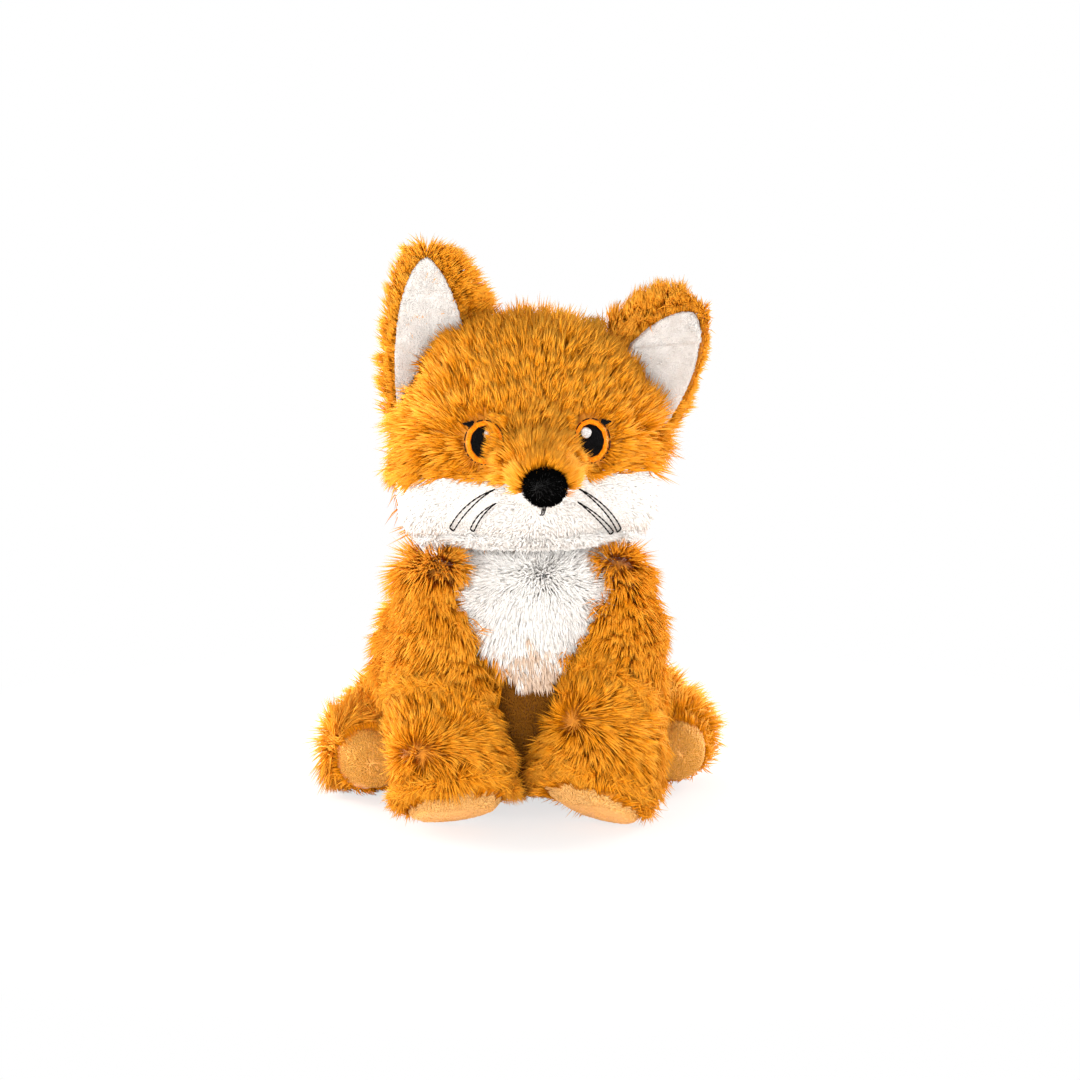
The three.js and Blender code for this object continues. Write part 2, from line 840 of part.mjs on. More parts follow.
function earLeaf(side, front, thickness, border) {
  const { turnShare } = side < 0 ? rightEar : leftEar;
  const { along } = earSeat(side);
  const spine = earSpine(side);
  const level = new THREE.Vector3(-side, 0, 0);
  const endShare = 1 - border.tip / spine.getLength();
  const taper = (share) => {
    const side = Math.pow(1 - Math.pow(share, ear.tipPower), 1 / ear.sidePower);
    return side * (1 - ear.rootNarrowShare * Math.pow(1 - share, 2));
  };
  const ownHalfWidth = ear.halfWidth - (border.inside + border.outside) / 2;
  const outwards = (border.inside - border.outside) / 2;
  const rows = 9;
  const columns = 4;
  const grid = [];
  for (let row = 0; row <= rows; row++) {
    const upShare = Math.sin((Math.PI / 2) * (row / rows));
    const share = upShare * endShare;
    const centre = spine.getPointAt(share);
    const tangent = spine.getTangentAt(share);
    const across = level.clone().lerp(along, turnShare);
    across.addScaledVector(tangent, -across.dot(tangent)).normalize();
    const normal = new THREE.Vector3().crossVectors(across, tangent).normalize();
    if (normal.y > 0) normal.negate();
    const half = ownHalfWidth * taper(upShare) + seam;
    const wholeHalf = ear.halfWidth * taper(share) + seam;
    for (let column = 0; column <= columns; column++) {
      const acrossShare = (2 * column) / columns - 1;
      const away = half * acrossShare - outwards * taper(upShare);
      const lift = ear.cup * Math.pow(away / wholeHalf, 2) * taper(share);
      grid.push({ at: centre.clone().addScaledVector(across, away), normal, lift });
    }
  }
  const position = [];
  for (const layer of [front, front - thickness]) {
    for (const { at, normal, lift } of grid) {
      const corner = at.clone().addScaledVector(normal, layer + lift);
      position.push(...corner.toArray());
    }
  }
  const index = [];
  const wide = columns + 1;
  const behind = grid.length;
  const quad = (a, b, c, d) => index.push(a, b, c, a, c, d);
  for (let row = 0; row < rows; row++) {
    for (let column = 0; column < columns; column++) {
      const a = row * wide + column;
      const b = behind + a;
      quad(a, a + 1, a + 1 + wide, a + wide);
      quad(b, b + wide, b + 1 + wide, b + 1);
    }
    const left = row * wide;
    const right = left + columns;
    quad(left, left + wide, behind + left + wide, behind + left);
    quad(right, behind + right, behind + right + wide, right + wide);
  }
  for (let column = 0; column < columns; column++) {
    const high = rows * wide + column;
    quad(column, behind + column, behind + column + 1, column + 1);
    quad(high, high + 1, behind + high + 1, behind + high);
  }
  return facesOut(position, index);
}

function earPieces(side) {
  const { point, along } = earSeat(side);
  const angles = [-earAngle, 0, earAngle];
  const clear = (leaf) =>
    biggest(clearOf(leaf, headForm(jointGap), point, along, angles));
  return {
    back: clear(earLeaf(side, 0, plush, noBorder)),
    lining: clear(earLeaf(side, seam + velboa, velboa, liningBorder)),
  };
}

function biggest(shape) {
  const parts = shape.decompose();
  parts.sort((a, b) => b.volume() - a.volume());
  return parts[0];
}

// Legs: a plush sleeve, a velboa sole that closes its end, and stuffing

function legPieces(form, spine, padDepth, fit) {
  const end = spine.getPointAt(1);
  const direction = spine.getTangentAt(1);
  const beyond = (depth) =>
    halfSpace(
      end.clone().addScaledVector(direction, -depth),
      direction,
      torso.height,
    );
  const whole = form(0);
  const sleeve = whole
    .subtract(form(-plush, inner.limb))
    .subtract(beyond(padDepth));
  const pad = whole
    .subtract(form(-velboa, inner.limb))
    .intersect(beyond(padDepth - seam));
  const fill = form(-plush - seam, inner.limb);
  return {
    skin: biggest(fit(sleeve)),
    pad: biggest(fit(pad)),
    fill: biggest(fit(fill)),
  };
}

// A limb cut clear of the torso at each angle that it turns through, but for what turns inside its socket
function socketed(shape, root, radius, axis, angles) {
  const { x, y, z } = root;
  const turning = shape.intersect(ball(x, y, z, radius + seam, socketSides));
  return clearOf(shape, torsoForm(jointGap), root, axis, angles).add(turning);
}

function frontLegPieces(side) {
  const shoulder = shoulderPoint(side);
  const forwards = new THREE.Vector3(-1, 0, 0);
  const angles = [0, swingAngle / 3, (swingAngle * 2) / 3, swingAngle];
  const form = (grow, detail) => frontLegForm(side, grow, detail);
  const fit = (shape) =>
    socketed(shape, shoulder, frontLeg.shoulderRadius, forwards, angles).subtract(floorBox);
  return legPieces(form, frontLegSpine(side), frontLeg.padDepth, fit);
}

const hingePoint = (side) =>
  new THREE.Vector3(
    side * (torso.halfWidth - hindLeg.hingeIn),
    hindLeg.hingeBack,
    hindLeg.haunchHeight,
  );

function hindLegPieces(side) {
  const hinge = hingePoint(side);
  const upright = new THREE.Vector3(0, 0, side);
  const angles = [0, splayAngle / 2, splayAngle];
  const neighbour = torsoForm(jointGap);
  const form = (grow, detail) => hindLegForm(side, grow, detail);
  const fit = (shape) =>
    clearOf(shape, neighbour, hinge, upright, angles).subtract(floorBox);
  return legPieces(form, hindLegSpine(side), hindLeg.padDepth, fit);
}

// Tail

const tipPlane = (shift) => {
  const spine = tailSpine();
  const direction = spine.getTangentAt(tail.tipStartShare);
  const point = spine.getPointAt(tail.tipStartShare);
  return halfSpace(point.addScaledVector(direction, shift), direction, torso.height);
};
const tailClear = (shape) => {
  const angles = [-wagAngle, 0, wagAngle];
  const upright = new THREE.Vector3(0, 0, 1);
  return biggest(socketed(shape, tailRoot, tail.rootRadius, upright, angles));
};
const tailWhole = tailForm(0).subtract(tailForm(-plush, inner.limb));
const tailSkin = tailClear(tailWhole.subtract(tipPlane(-seam)));
const tailTip = tailWhole.intersect(tipPlane(0));
const tailFill = tailClear(tailForm(-plush - seam, inner.limb));

// Assembly: each jointed part is a group at its own pivot

function joint(parent, name, pivot) {
  const group = new THREE.Group();
  group.name = name;
  group.position.subVectors(pivot, parent.userData.pivot);
  group.userData.pivot = pivot;
  parent.add(group);
  return group;
}

function place(group, name, shape, material) {
  const found = shape.getMesh();
  const geometry = new THREE.BufferGeometry();
  const positions = new Float32Array(found.vertProperties);
  geometry.setAttribute("position", new THREE.BufferAttribute(positions, 3));
  geometry.setIndex(new THREE.BufferAttribute(new Uint32Array(found.triVerts), 1));
  const { x, y, z } = group.userData.pivot;
  geometry.translate(-x, -y, -z).computeVertexNormals();
  const mesh = new THREE.Mesh(geometry, material);
  mesh.name = name;
  group.add(mesh);
}

const coyote = new THREE.Group();
coyote.userData.pivot = new THREE.Vector3(0, 0, 0);
const { gold, white, tan, black, orange, fibre, linen } = colours;

place(coyote, "torso_skin", torsoSkin, gold);
place(coyote, "chest_bib", bibShell, white);
place(coyote, "belly_panel", bellyShell, tan);
place(coyote, "torso_stuffing", torsoFill, fibre);
place(coyote, "pellet_pouch", pelletPouch, linen);

const neckPoint = new THREE.Vector3(0, torso.neckBack, torso.height);
const neckGroup = joint(coyote, "neck", neckPoint);
place(neckGroup, "neck_plug", neckBall(0), gold);

const headGroup = joint(neckGroup, "head", neckPoint);
place(headGroup, "head_skin", headSkin, gold);
place(headGroup, "cheek_panel", cheekPanel, white);
place(headGroup, "head_stuffing", headFill, fibre);
place(headGroup, "muzzle_bridge", muzzleBridge, gold);
place(headGroup, "muzzle_chin", muzzleChin, white);
place(headGroup, "muzzle_stuffing", muzzleFill, fibre);
place(headGroup, "nose", noseForm, black);
place(headGroup, "mouth_stitch", mouthPiece, black);

for (const [name, side] of Object.entries(sides)) {
  const { ring, pupil, glint, lash } = eyePieces(side);
  place(headGroup, `eye_ring_${name}`, ring, orange);
  place(headGroup, `eye_pupil_${name}`, pupil, black);
  place(headGroup, `eye_glint_${name}`, glint, white);
  place(headGroup, `eye_lash_${name}`, lash, black);
  place(headGroup, `whisker_upper_${name}`, whiskerPiece(side, upperWhisker), black);
  place(headGroup, `whisker_lower_${name}`, whiskerPiece(side, lowerWhisker), black);

  const earGroup = joint(headGroup, `ear_${name}`, earSeat(side).point);
  const { back, lining } = earPieces(side);
  place(earGroup, `ear_back_${name}`, back, gold);
  place(earGroup, `ear_lining_${name}`, lining, white);

  const arm = joint(coyote, `front_leg_${name}`, shoulderPoint(side));
  const front = frontLegPieces(side);
  place(arm, `front_leg_skin_${name}`, front.skin, gold);
  place(arm, `front_pad_${name}`, front.pad, tan);
  place(arm, `front_leg_stuffing_${name}`, front.fill, fibre);

  const thigh = joint(coyote, `hind_leg_${name}`, hingePoint(side));
  const hind = hindLegPieces(side);
  place(thigh, `hind_leg_skin_${name}`, hind.skin, gold);
  place(thigh, `hind_pad_${name}`, hind.pad, tan);
  place(thigh, `hind_leg_stuffing_${name}`, hind.fill, fibre);
}

const tailGroup = joint(coyote, "tail", tailRoot);
place(tailGroup, "tail_skin", tailSkin, gold);
place(tailGroup, "tail_tip", tailTip, white);
place(tailGroup, "tail_stuffing", tailFill, fibre);

export default coyote;
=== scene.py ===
import json
import math

import bmesh
import bpy
import numpy as np
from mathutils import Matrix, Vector
from mathutils.bvhtree import BVHTree
from mathutils.kdtree import KDTree

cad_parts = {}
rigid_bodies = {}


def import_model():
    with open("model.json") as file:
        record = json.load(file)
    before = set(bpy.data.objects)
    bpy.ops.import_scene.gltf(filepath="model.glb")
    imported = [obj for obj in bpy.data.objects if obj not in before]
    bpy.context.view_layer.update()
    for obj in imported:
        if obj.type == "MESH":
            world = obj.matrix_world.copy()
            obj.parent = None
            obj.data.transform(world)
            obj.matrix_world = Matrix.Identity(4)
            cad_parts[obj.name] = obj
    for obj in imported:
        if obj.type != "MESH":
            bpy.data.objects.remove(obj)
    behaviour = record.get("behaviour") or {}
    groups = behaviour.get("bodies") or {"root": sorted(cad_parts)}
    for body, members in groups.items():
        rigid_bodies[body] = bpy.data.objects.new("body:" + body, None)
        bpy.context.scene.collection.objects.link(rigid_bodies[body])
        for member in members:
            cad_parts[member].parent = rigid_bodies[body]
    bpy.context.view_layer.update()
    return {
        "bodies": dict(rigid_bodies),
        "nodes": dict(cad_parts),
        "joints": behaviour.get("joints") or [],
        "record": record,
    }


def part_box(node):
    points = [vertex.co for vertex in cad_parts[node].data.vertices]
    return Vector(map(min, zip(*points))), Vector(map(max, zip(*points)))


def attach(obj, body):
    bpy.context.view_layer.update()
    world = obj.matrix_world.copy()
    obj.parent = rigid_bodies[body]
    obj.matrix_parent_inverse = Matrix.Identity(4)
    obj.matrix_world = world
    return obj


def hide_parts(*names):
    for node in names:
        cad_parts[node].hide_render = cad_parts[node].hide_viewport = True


# A plush coyote that sits up, dressed in long plush, short pile and embroidery.
# Lengths in the dictionaries are in millimetres, and the scene itself is in metres.
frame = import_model()
mm = 0.001
sideSigns = {"right": -1, "left": 1}
nodes = frame["nodes"]
print("frame loaded:", len(nodes), "nodes")


# Materials

def linear(hexColour):
    parts = [int(hexColour[i:i + 2], 16) / 255 for i in (1, 3, 5)]
    curve = [p / 12.92 if p <= 0.04045 else ((p + 0.055) / 1.055) ** 2.4 for p in parts]
    return (*curve, 1.0)


def addNode(tree, kind, inputs=None, **settings):
    node = tree.nodes.new(kind)
    for key, value in settings.items():
        setattr(node, key, value)
    for key, value in (inputs or {}).items():
        if isinstance(value, bpy.types.NodeSocket):
            tree.links.new(value, node.inputs[key])
        else:
            node.inputs[key].default_value = value
    return node


def newMaterial(name):
    material = bpy.data.materials.new(name)
    material.use_nodes = True
    tree = material.node_tree
    tree.nodes.clear()
    shader = addNode(tree, "ShaderNodeBsdfPrincipled")
    addNode(tree, "ShaderNodeOutputMaterial", {"Surface": shader.outputs[0]})
    return material, tree, shader


def rampOf(tree, factor, stops):
    ramp = addNode(tree, "ShaderNodeValToRGB", {"Fac": factor})
    elements = ramp.color_ramp.elements
    while len(elements) < len(stops):
        elements.new(0.5)
    for element, (place, colour) in zip(elements, stops):
        element.position = place
        element.color = linear(colour)
    return ramp.outputs["Color"]


# Each strand carries a map: across it runs its own shade, and up it runs from root to tip
strandMap = "OFBake"


def pileMaterial(name, dark, light, roughness, sheen, sheenTint, gloss=0.18):
    material, tree, shader = newMaterial(name)
    place = addNode(tree, "ShaderNodeUVMap", uv_map=strandMap)
    split = addNode(tree, "ShaderNodeSeparateXYZ", {"Vector": place.outputs["UV"]})
    # Along each strand the colour runs from painted shade at the root to painted light at the tip
    low = rampOf(tree, split.outputs["Y"], dark)
    high = rampOf(tree, split.outputs["Y"], light)
    blend = addNode(tree, "ShaderNodeMix", data_type="RGBA")
    tree.links.new(split.outputs["X"], blend.inputs[0])
    tree.links.new(low, blend.inputs[6])
    tree.links.new(high, blend.inputs[7])
    # Fine fibres: streaks that run along the strand
    stretch = addNode(tree, "ShaderNodeMapping", {
        "Vector": place.outputs["UV"], "Scale": (208, 2.5, 1),
    })
    fibres = addNode(tree, "ShaderNodeTexNoise", {
        "Vector": stretch.outputs[0], "Scale": 1.0, "Detail": 1.0,
    })
    value = addNode(tree, "ShaderNodeMapRange", {
        "Value": fibres.outputs[0], "From Min": 0.3, "From Max": 0.7, "To Min": 0.82, "To Max": 1.14,
    })
    tone = addNode(tree, "ShaderNodeHueSaturation", {
        "Value": value.outputs[0], "Color": blend.outputs[2],
    })
    tree.links.new(tone.outputs[0], shader.inputs["Base Color"])
    shader.inputs["Roughness"].default_value = roughness
    shader.inputs["IOR"].default_value = 1.46
    shader.inputs["Specular IOR Level"].default_value = gloss
    shader.inputs["Sheen Weight"].default_value = sheen
    shader.inputs["Sheen Roughness"].default_value = 0.45
    shader.inputs["Sheen Tint"].default_value = linear(sheenTint)
    return material


def backingMaterial(name, dark, light, grain):
    # Knitted backing cloth under the pile, only glimpsed between strands
    material, tree, shader = newMaterial(name)
    place = addNode(tree, "ShaderNodeTexCoord")
    speck = addNode(tree, "ShaderNodeTexNoise", {
        "Vector": place.outputs["Object"], "Scale": 1 / (grain * mm), "Detail": 3.0,
    })
    colour = rampOf(tree, speck.outputs[0], [(0.35, dark), (0.65, light)])
    tree.links.new(colour, shader.inputs["Base Color"])
    shader.inputs["Roughness"].default_value = 0.95
    shader.inputs["Sheen Weight"].default_value = 0.2
    bump = addNode(tree, "ShaderNodeBump", {
        "Height": speck.outputs[0], "Strength": 0.6, "Distance": 0.4 * mm,
    })
    tree.links.new(bump.outputs[0], shader.inputs["Normal"])
    return material


# Long polyester plush, dyed gold, with painted shade deep between the tufts and a painted highlight at the
# tips where light comes through
goldPile = pileMaterial(
    "goldPolyesterPlush",
    [(0.0, "#b05c00"), (0.4, "#ca7400"), (1.0, "#da8808")],
    [(0.0, "#c47000"), (0.4, "#e39010"), (1.0, "#f6b648")],
    0.75, 0.0, "#ffd08a", 0.07,
)
whitePile = pileMaterial(
    "whitePolyesterPlush",
    [(0.0, "#e4ded7"), (0.4, "#e8e4df"), (1.0, "#ece9e5")],
    [(0.0, "#e8e3dd"), (0.4, "#eeebe7"), (1.0, "#f3f1ee")],
    0.8, 0.0, "#ffffff", 0.07,
)
# The cheeks' short white plush is a shade darker than the bib's: painted shade against the stronger light on
# the face
cheekPile = pileMaterial(
    "whiteShortPlush",
    [(0.0, "#dcd7d1"), (0.4, "#e0dcd8"), (1.0, "#e4e1dd")],
    [(0.0, "#e0dbd6"), (0.4, "#e5e2de"), (1.0, "#e9e7e4")],
    0.8, 0.0, "#ffffff", 0.07,
)
# The end of the bib is white plush with painted shade, warmed by painted light thrown back from the gold legs
bibEndShadePile = pileMaterial(
    "whitePlushPaintedWarmShade",
    [(0.0, "#b48a64"), (0.4, "#cdac8e"), (1.0, "#dcc4ae")],
    [(0.0, "#c09874"), (0.4, "#dabea4"), (1.0, "#e8d6c6")],
    0.8, 0.0, "#fff4e8", 0.07,
)
# A darker, more orange copy of the tan velboa: painted shade on the hind soles
hindSoleShadePile = pileMaterial(
    "tanVelboaPaintedShade",
    [(0.0, "#a86c20"), (0.5, "#c4842c"), (1.0, "#d2963c")],
    [(0.0, "#b87c28"), (0.5, "#d89a40"), (1.0, "#e6b056")],
    0.7, 0.1, "#ffe2b0",
)
tanPile = pileMaterial(
    "tanVelboa",
    [(0.0, "#bd8036"), (0.5, "#d99c4c"), (1.0, "#e6b066")],
    [(0.0, "#cd903e"), (0.5, "#eab66a"), (1.0, "#f6ce8c")],
    0.7, 0.15, "#ffe2b0",
)
# The belly velboa between the legs is coloured dark brown: painted shade, where it lies in shadow
bellyShadePile = pileMaterial(
    "bellyVelboaPaintedShade",
    [(0.0, "#4e2a04"), (0.5, "#6c3f0a"), (1.0, "#7f4e12")],
    [(0.0, "#5c3408"), (0.5, "#7c4c10"), (1.0, "#925e1c")],
    0.75, 0.0, "#ffe2b0", 0.07,
)
blackPile = pileMaterial(
    "blackShortPlush",
    [(0.0, "#020202"), (1.0, "#040404")],
    [(0.0, "#030303"), (1.0, "#080808")],
    0.95, 0.0, "#8a8a8a", 0.0,
)
# White velboa of the ear linings, coloured grey: painted soft shade
liningShadePile = pileMaterial(
    "whiteVelboaPaintedShade",
    [(0.0, "#b9b3ad"), (0.5, "#c4c0bb"), (1.0, "#cbc8c5")],
    [(0.0, "#c1bbb6"), (0.5, "#cfccc8"), (1.0, "#d8d6d3")],
    0.8, 0.1, "#ffffff",
)
# The gold backing is coloured darker than the pile: painted shade in the depth between the strands
goldShadeBacking = backingMaterial("goldKnittedBackingPaintedShade", "#b46a04", "#cc8010", 1.4)
whiteBacking = backingMaterial("whiteKnittedBacking", "#ece6e0", "#f8f5f2", 1.4)
# Dark brown belly backing: painted shade
bellyShadeBacking = backingMaterial("bellyBackingPaintedShade", "#5c3508", "#7a4a12", 1.1)
# Lining cloth in grey with broad mottles: painted shade of the linings and their wrinkles
liningShadeCloth = backingMaterial("whiteVelboaClothPaintedShade", "#b8b2ac", "#cecac6", 5.0)
tanBacking = backingMaterial("tanVelboaBacking", "#d2913c", "#eaae5c", 1.1)
blackBacking = backingMaterial("blackPlushBacking", "#020202", "#050505", 0.8)


def threadMaterial(name, dark, light, roughness=0.42, gloss=0.3):
    # Shiny polyester embroidery thread: short pale and dark flecks show the ply, and the pale ones are also a
    # painted sheen
    material, tree, shader = newMaterial(name)
    place = addNode(tree, "ShaderNodeTexCoord")
    flecks = addNode(tree, "ShaderNodeTexNoise", {
        "Vector": place.outputs["Object"], "Scale": 1 / (0.45 * mm), "Detail": 2.0, "Roughness": 0.7,
    })
    colour = rampOf(tree, flecks.outputs[0], [(0.45, dark), (0.68, light)])
    tree.links.new(colour, shader.inputs["Base Color"])
    shader.inputs["Roughness"].default_value = roughness
    shader.inputs["IOR"].default_value = 1.5
    shader.inputs["Specular IOR Level"].default_value = gloss
    bump = addNode(tree, "ShaderNodeBump", {
        "Height": flecks.outputs[0], "Strength": 0.5, "Distance": 0.12 * mm,
    })
    tree.links.new(bump.outputs[0], shader.inputs["Normal"])
    return material


orangeThread = threadMaterial("orangeEmbroideryThread", "#de7000", "#ffa010", 0.5, 0.1)
blackThread = threadMaterial("blackEmbroideryThread", "#010101", "#100e10", 0.55, 0.05)
whiteThread = threadMaterial("whiteEmbroideryThread", "#b4b0ae", "#e2dfdd")
print("materials made")


# Shapes taken over from the frame

def evaluatedMesh(obj):
    depsgraph = bpy.context.evaluated_depsgraph_get()
    return bpy.data.meshes.new_from_object(obj.evaluated_get(depsgraph), depsgraph=depsgraph)


def linked(name, mesh):
    obj = bpy.data.objects.new(name, mesh)
    bpy.context.scene.collection.objects.link(obj)
    return obj


def dropped(obj):
    mesh = obj.data
    bpy.data.objects.remove(obj)
    if mesh.users == 0:
        bpy.data.meshes.remove(mesh)


def coordinates(mesh):
    co = np.empty(len(mesh.vertices) * 3, np.float64)
    mesh.vertices.foreach_get("co", co)
    return co.reshape(-1, 3)


def normals(mesh):
    no = np.empty(len(mesh.vertices) * 3, np.float64)
    mesh.vertex_normals.foreach_get("vector", no)
    return no.reshape(-1, 3)


def setCoordinates(mesh, co):
    mesh.vertices.foreach_set("co", co.astype(np.float32).ravel())
    mesh.update()


def closedCopy(names):
    # One mesh of several CAD nodes, each with its doubles merged
    whole = bmesh.new()
    for name in names:
        part = bmesh.new()
        part.from_mesh(nodes[name].data)
        bmesh.ops.remove_doubles(part, verts=part.verts, dist=1e-6)
        mesh = bpy.data.meshes.new("part")
        part.to_mesh(mesh)
        part.free()
        whole.from_mesh(mesh)
        bpy.data.meshes.remove(mesh)
    return whole


def hullCopy(names):
    hull = bmesh.new()
    for name in names:
        for x, y, z in coordinates(nodes[name].data):
            hull.verts.new((x, y, z))
    bmesh.ops.remove_doubles(hull, verts=hull.verts, dist=1e-6)
    made = bmesh.ops.convex_hull(hull, input=hull.verts)
    spare = [e for e in made["geom_interior"] + made["geom_unused"] if isinstance(e, bmesh.types.BMVert)]
    bmesh.ops.delete(hull, geom=list(set(spare)), context="VERTS")
    return hull


def voxelled(shapes, voxel):
    whole = bmesh.new()
    for shape in shapes:
        mesh = bpy.data.meshes.new("part")
        shape.to_mesh(mesh)
        shape.free()
        whole.from_mesh(mesh)
        bpy.data.meshes.remove(mesh)
    mesh = bpy.data.meshes.new("whole")
    whole.to_mesh(mesh)
    whole.free()
    obj = linked("voxelled", mesh)
    remesh = obj.modifiers.new("voxels", "REMESH")
    remesh.mode = "VOXEL"
    remesh.voxel_size = voxel * mm
    found = evaluatedMesh(obj)
    dropped(obj)
    return found


def edgePairs(mesh):
    pairs = np.empty(len(mesh.edges) * 2, np.int64)
    mesh.edges.foreach_get("vertices", pairs)
    return pairs.reshape(-1, 2)


def evened(values, pairs, rounds, share=0.5):
    # Each value drawn towards the mean of its neighbours
    count = np.bincount(pairs.ravel(), minlength=len(values)).clip(1)
    shape = (-1,) + (1,) * (values.ndim - 1)
    for _ in range(rounds):
        total = np.zeros_like(values)
        np.add.at(total, pairs[:, 0], values[pairs[:, 1]])
        np.add.at(total, pairs[:, 1], values[pairs[:, 0]])
        values = values + share * (total / count.reshape(shape) - values)
    return values


def relaxed(mesh, rounds):
    # Smoothed without shrinking: a step in, then a slightly longer step out
    pairs = edgePairs(mesh)
    co = coordinates(mesh)
    for _ in range(rounds):
        co = evened(co, pairs, 1, 0.5)
        co = evened(co, pairs, 1, -0.52)
    setCoordinates(mesh, co)


def treeOf(mesh):
    return BVHTree.FromPolygons([v.co for v in mesh.vertices], [list(p.vertices) for p in mesh.polygons])


nodeTrees = {name: treeOf(obj.data) for name, obj in nodes.items()}


def nearestNode(points, names):
    # Index of the nearest of these CAD nodes, for each point
    best = np.full(len(points), np.inf)
    found = np.zeros(len(points), int)
    for index, name in enumerate(names):
        tree = nodeTrees[name]
        away = np.array([tree.find_nearest(Vector(p))[3] for p in points])
        closer = away < best
        best[closer] = away[closer]
        found[closer] = index
    return found


# Covers: the backing cloth of each stuffed part, sunk below the CAD surface by the depth of its pile

pileDepths = {"plush": 3.6, "bibPlush": 3.4, "shortPlush": 1.4, "velboa": 0.7}
cushion = {"pressure": 4.0, "stiffness": 3.0, "bending": 0.05, "frames": 20, "cap": 1.4}


def plumped(mesh, seam):
    # Pressure crowns each panel between the seams, which stay put, by no more than the cap
    obj = linked("plumping", mesh)
    start = coordinates(mesh).copy()
    obj.vertex_groups.new(name="seams").add(np.flatnonzero(seam).tolist(), 1.0, "REPLACE")
    cloth = obj.modifiers.new("cloth", "CLOTH")
    cloth.settings.use_pressure = True
    cloth.settings.uniform_pressure_force = cushion["pressure"]
    cloth.settings.mass = 0.001
    for kind in ("tension", "compression", "shear"):
        setattr(cloth.settings, f"{kind}_stiffness", cushion["stiffness"])
    cloth.settings.bending_stiffness = cushion["bending"]
    cloth.settings.effector_weights.gravity = 0
    cloth.settings.quality = 5
    cloth.settings.vertex_group_mass = "seams"
    cloth.point_cache.frame_start = 1
    cloth.point_cache.frame_end = cushion["frames"]
    for step in range(1, cushion["frames"] + 1):
        bpy.context.scene.frame_set(step)
    found = evaluatedMesh(obj)
    bpy.context.scene.frame_set(1)
    end = coordinates(found)
    bpy.data.objects.remove(obj)
    bpy.data.meshes.remove(found)
    move = evened(end - start, edgePairs(mesh), 2)
    length = np.linalg.norm(move, axis=1, keepdims=True).clip(1e-9)
    setCoordinates(mesh, start + move * np.minimum(1, cushion["cap"] * mm / length))
    print("plumped:", len(start), "vertices, largest move", round(length.max() / mm, 2), "mm")


def eased(values, low, high):
    # 0 up to low, 1 from high, and a soft slope between them
    t = np.clip((values - low) / (high - low), 0, 1)
    return t * t * (3 - 2 * t)


# Where the stuffing pushes a part out beyond its plain form, in millimetres
def fullerHead(x, y, z, no):
    return 2.6 * eased(abs(x), 24, 40) * (1 - eased(z, 106, 122))


def flankOf(x, z):
    # The flank on the toy's right bulges over its haunch
    return eased(-x, 30, 46) * eased(z, 34, 46) * (1 - eased(z, 64, 82))


def fullerTorso(x, y, z, no):
    return 2.4 * eased(abs(x), 30, 46) * (1 - eased(z, 60, 80)) + 2.8 * flankOf(x, z)


def fullerLeg(side, inner, outer, high):
    # Knees and paws lean in towards each other
    def extra(x, y, z, no):
        below = 1 - eased(z, 62, 84)
        inside, outside = (eased(way * side * no[:, 0], 0.1, 0.9) for way in (-1, 1))
        return inner * inside * below + outside * (outer * below + high * (1 - below))
    return extra


def fullerHaunch(side, outer):
    def extra(x, y, z, no):
        return outer * eased(side * no[:, 0], 0, 0.9) * (1 - eased(z, 26, 42))
    return extra


fuller = {
    "torso": fullerTorso,
    "head": fullerHead,
    "front_leg_right": fullerLeg(-1, 2.6, 1.5, 1.5),
    "front_leg_left": fullerLeg(1, 6.0, 0.5, -1.6),
    "hind_leg_right": fullerHaunch(-1, 3.0),
    "hind_leg_left": fullerHaunch(1, 1.5),
}

covers = {}


def boxMiddle(node):
    low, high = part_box(node)
    return np.array((low + high) / 2)


def makeCover(body, shapes, regions, voxel=2.2, rounds=6):
    # regions: a list of (CAD node, pile, kind of backing)
    mesh = voxelled(shapes, voxel)
    relaxed(mesh, rounds)
    pairs = edgePairs(mesh)
    co, no = coordinates(mesh), normals(mesh)
    region = nearestNode(co, [name for name, _, _ in regions])
    depth = np.array([pileDepths[pile] for _, pile, _ in regions])[region]
    depth = evened(depth, pairs, 4)
    if body == "head":
        # The pile gets short towards the nose
        fromNose = np.linalg.norm(co - boxMiddle("nose"), axis=1)
        depth *= np.clip(0.3 + (fromNose / mm - 9) / 12, 0.3, 1)
    skins = np.array([pile == "plush" or pile == "shortPlush" for _, pile, _ in regions])[region]
    if body in fuller:
        depth -= fuller[body](*(co / mm).T, no) * skins
    setCoordinates(mesh, co - no * evened(depth, pairs, 3)[:, None] * mm)
    relaxed(mesh, 3)
    sewn = pairs[region[pairs[:, 0]] != region[pairs[:, 1]]].ravel()
    seam = np.isin(np.arange(len(co)), sewn)
    if seam.any():
        plumped(mesh, seam)
    co = coordinates(mesh)
    co[:, 2] = np.maximum(co[:, 2], 0.4 * mm)
    setCoordinates(mesh, co)
    covers[body] = {"mesh": mesh, "region": region, "regions": regions}


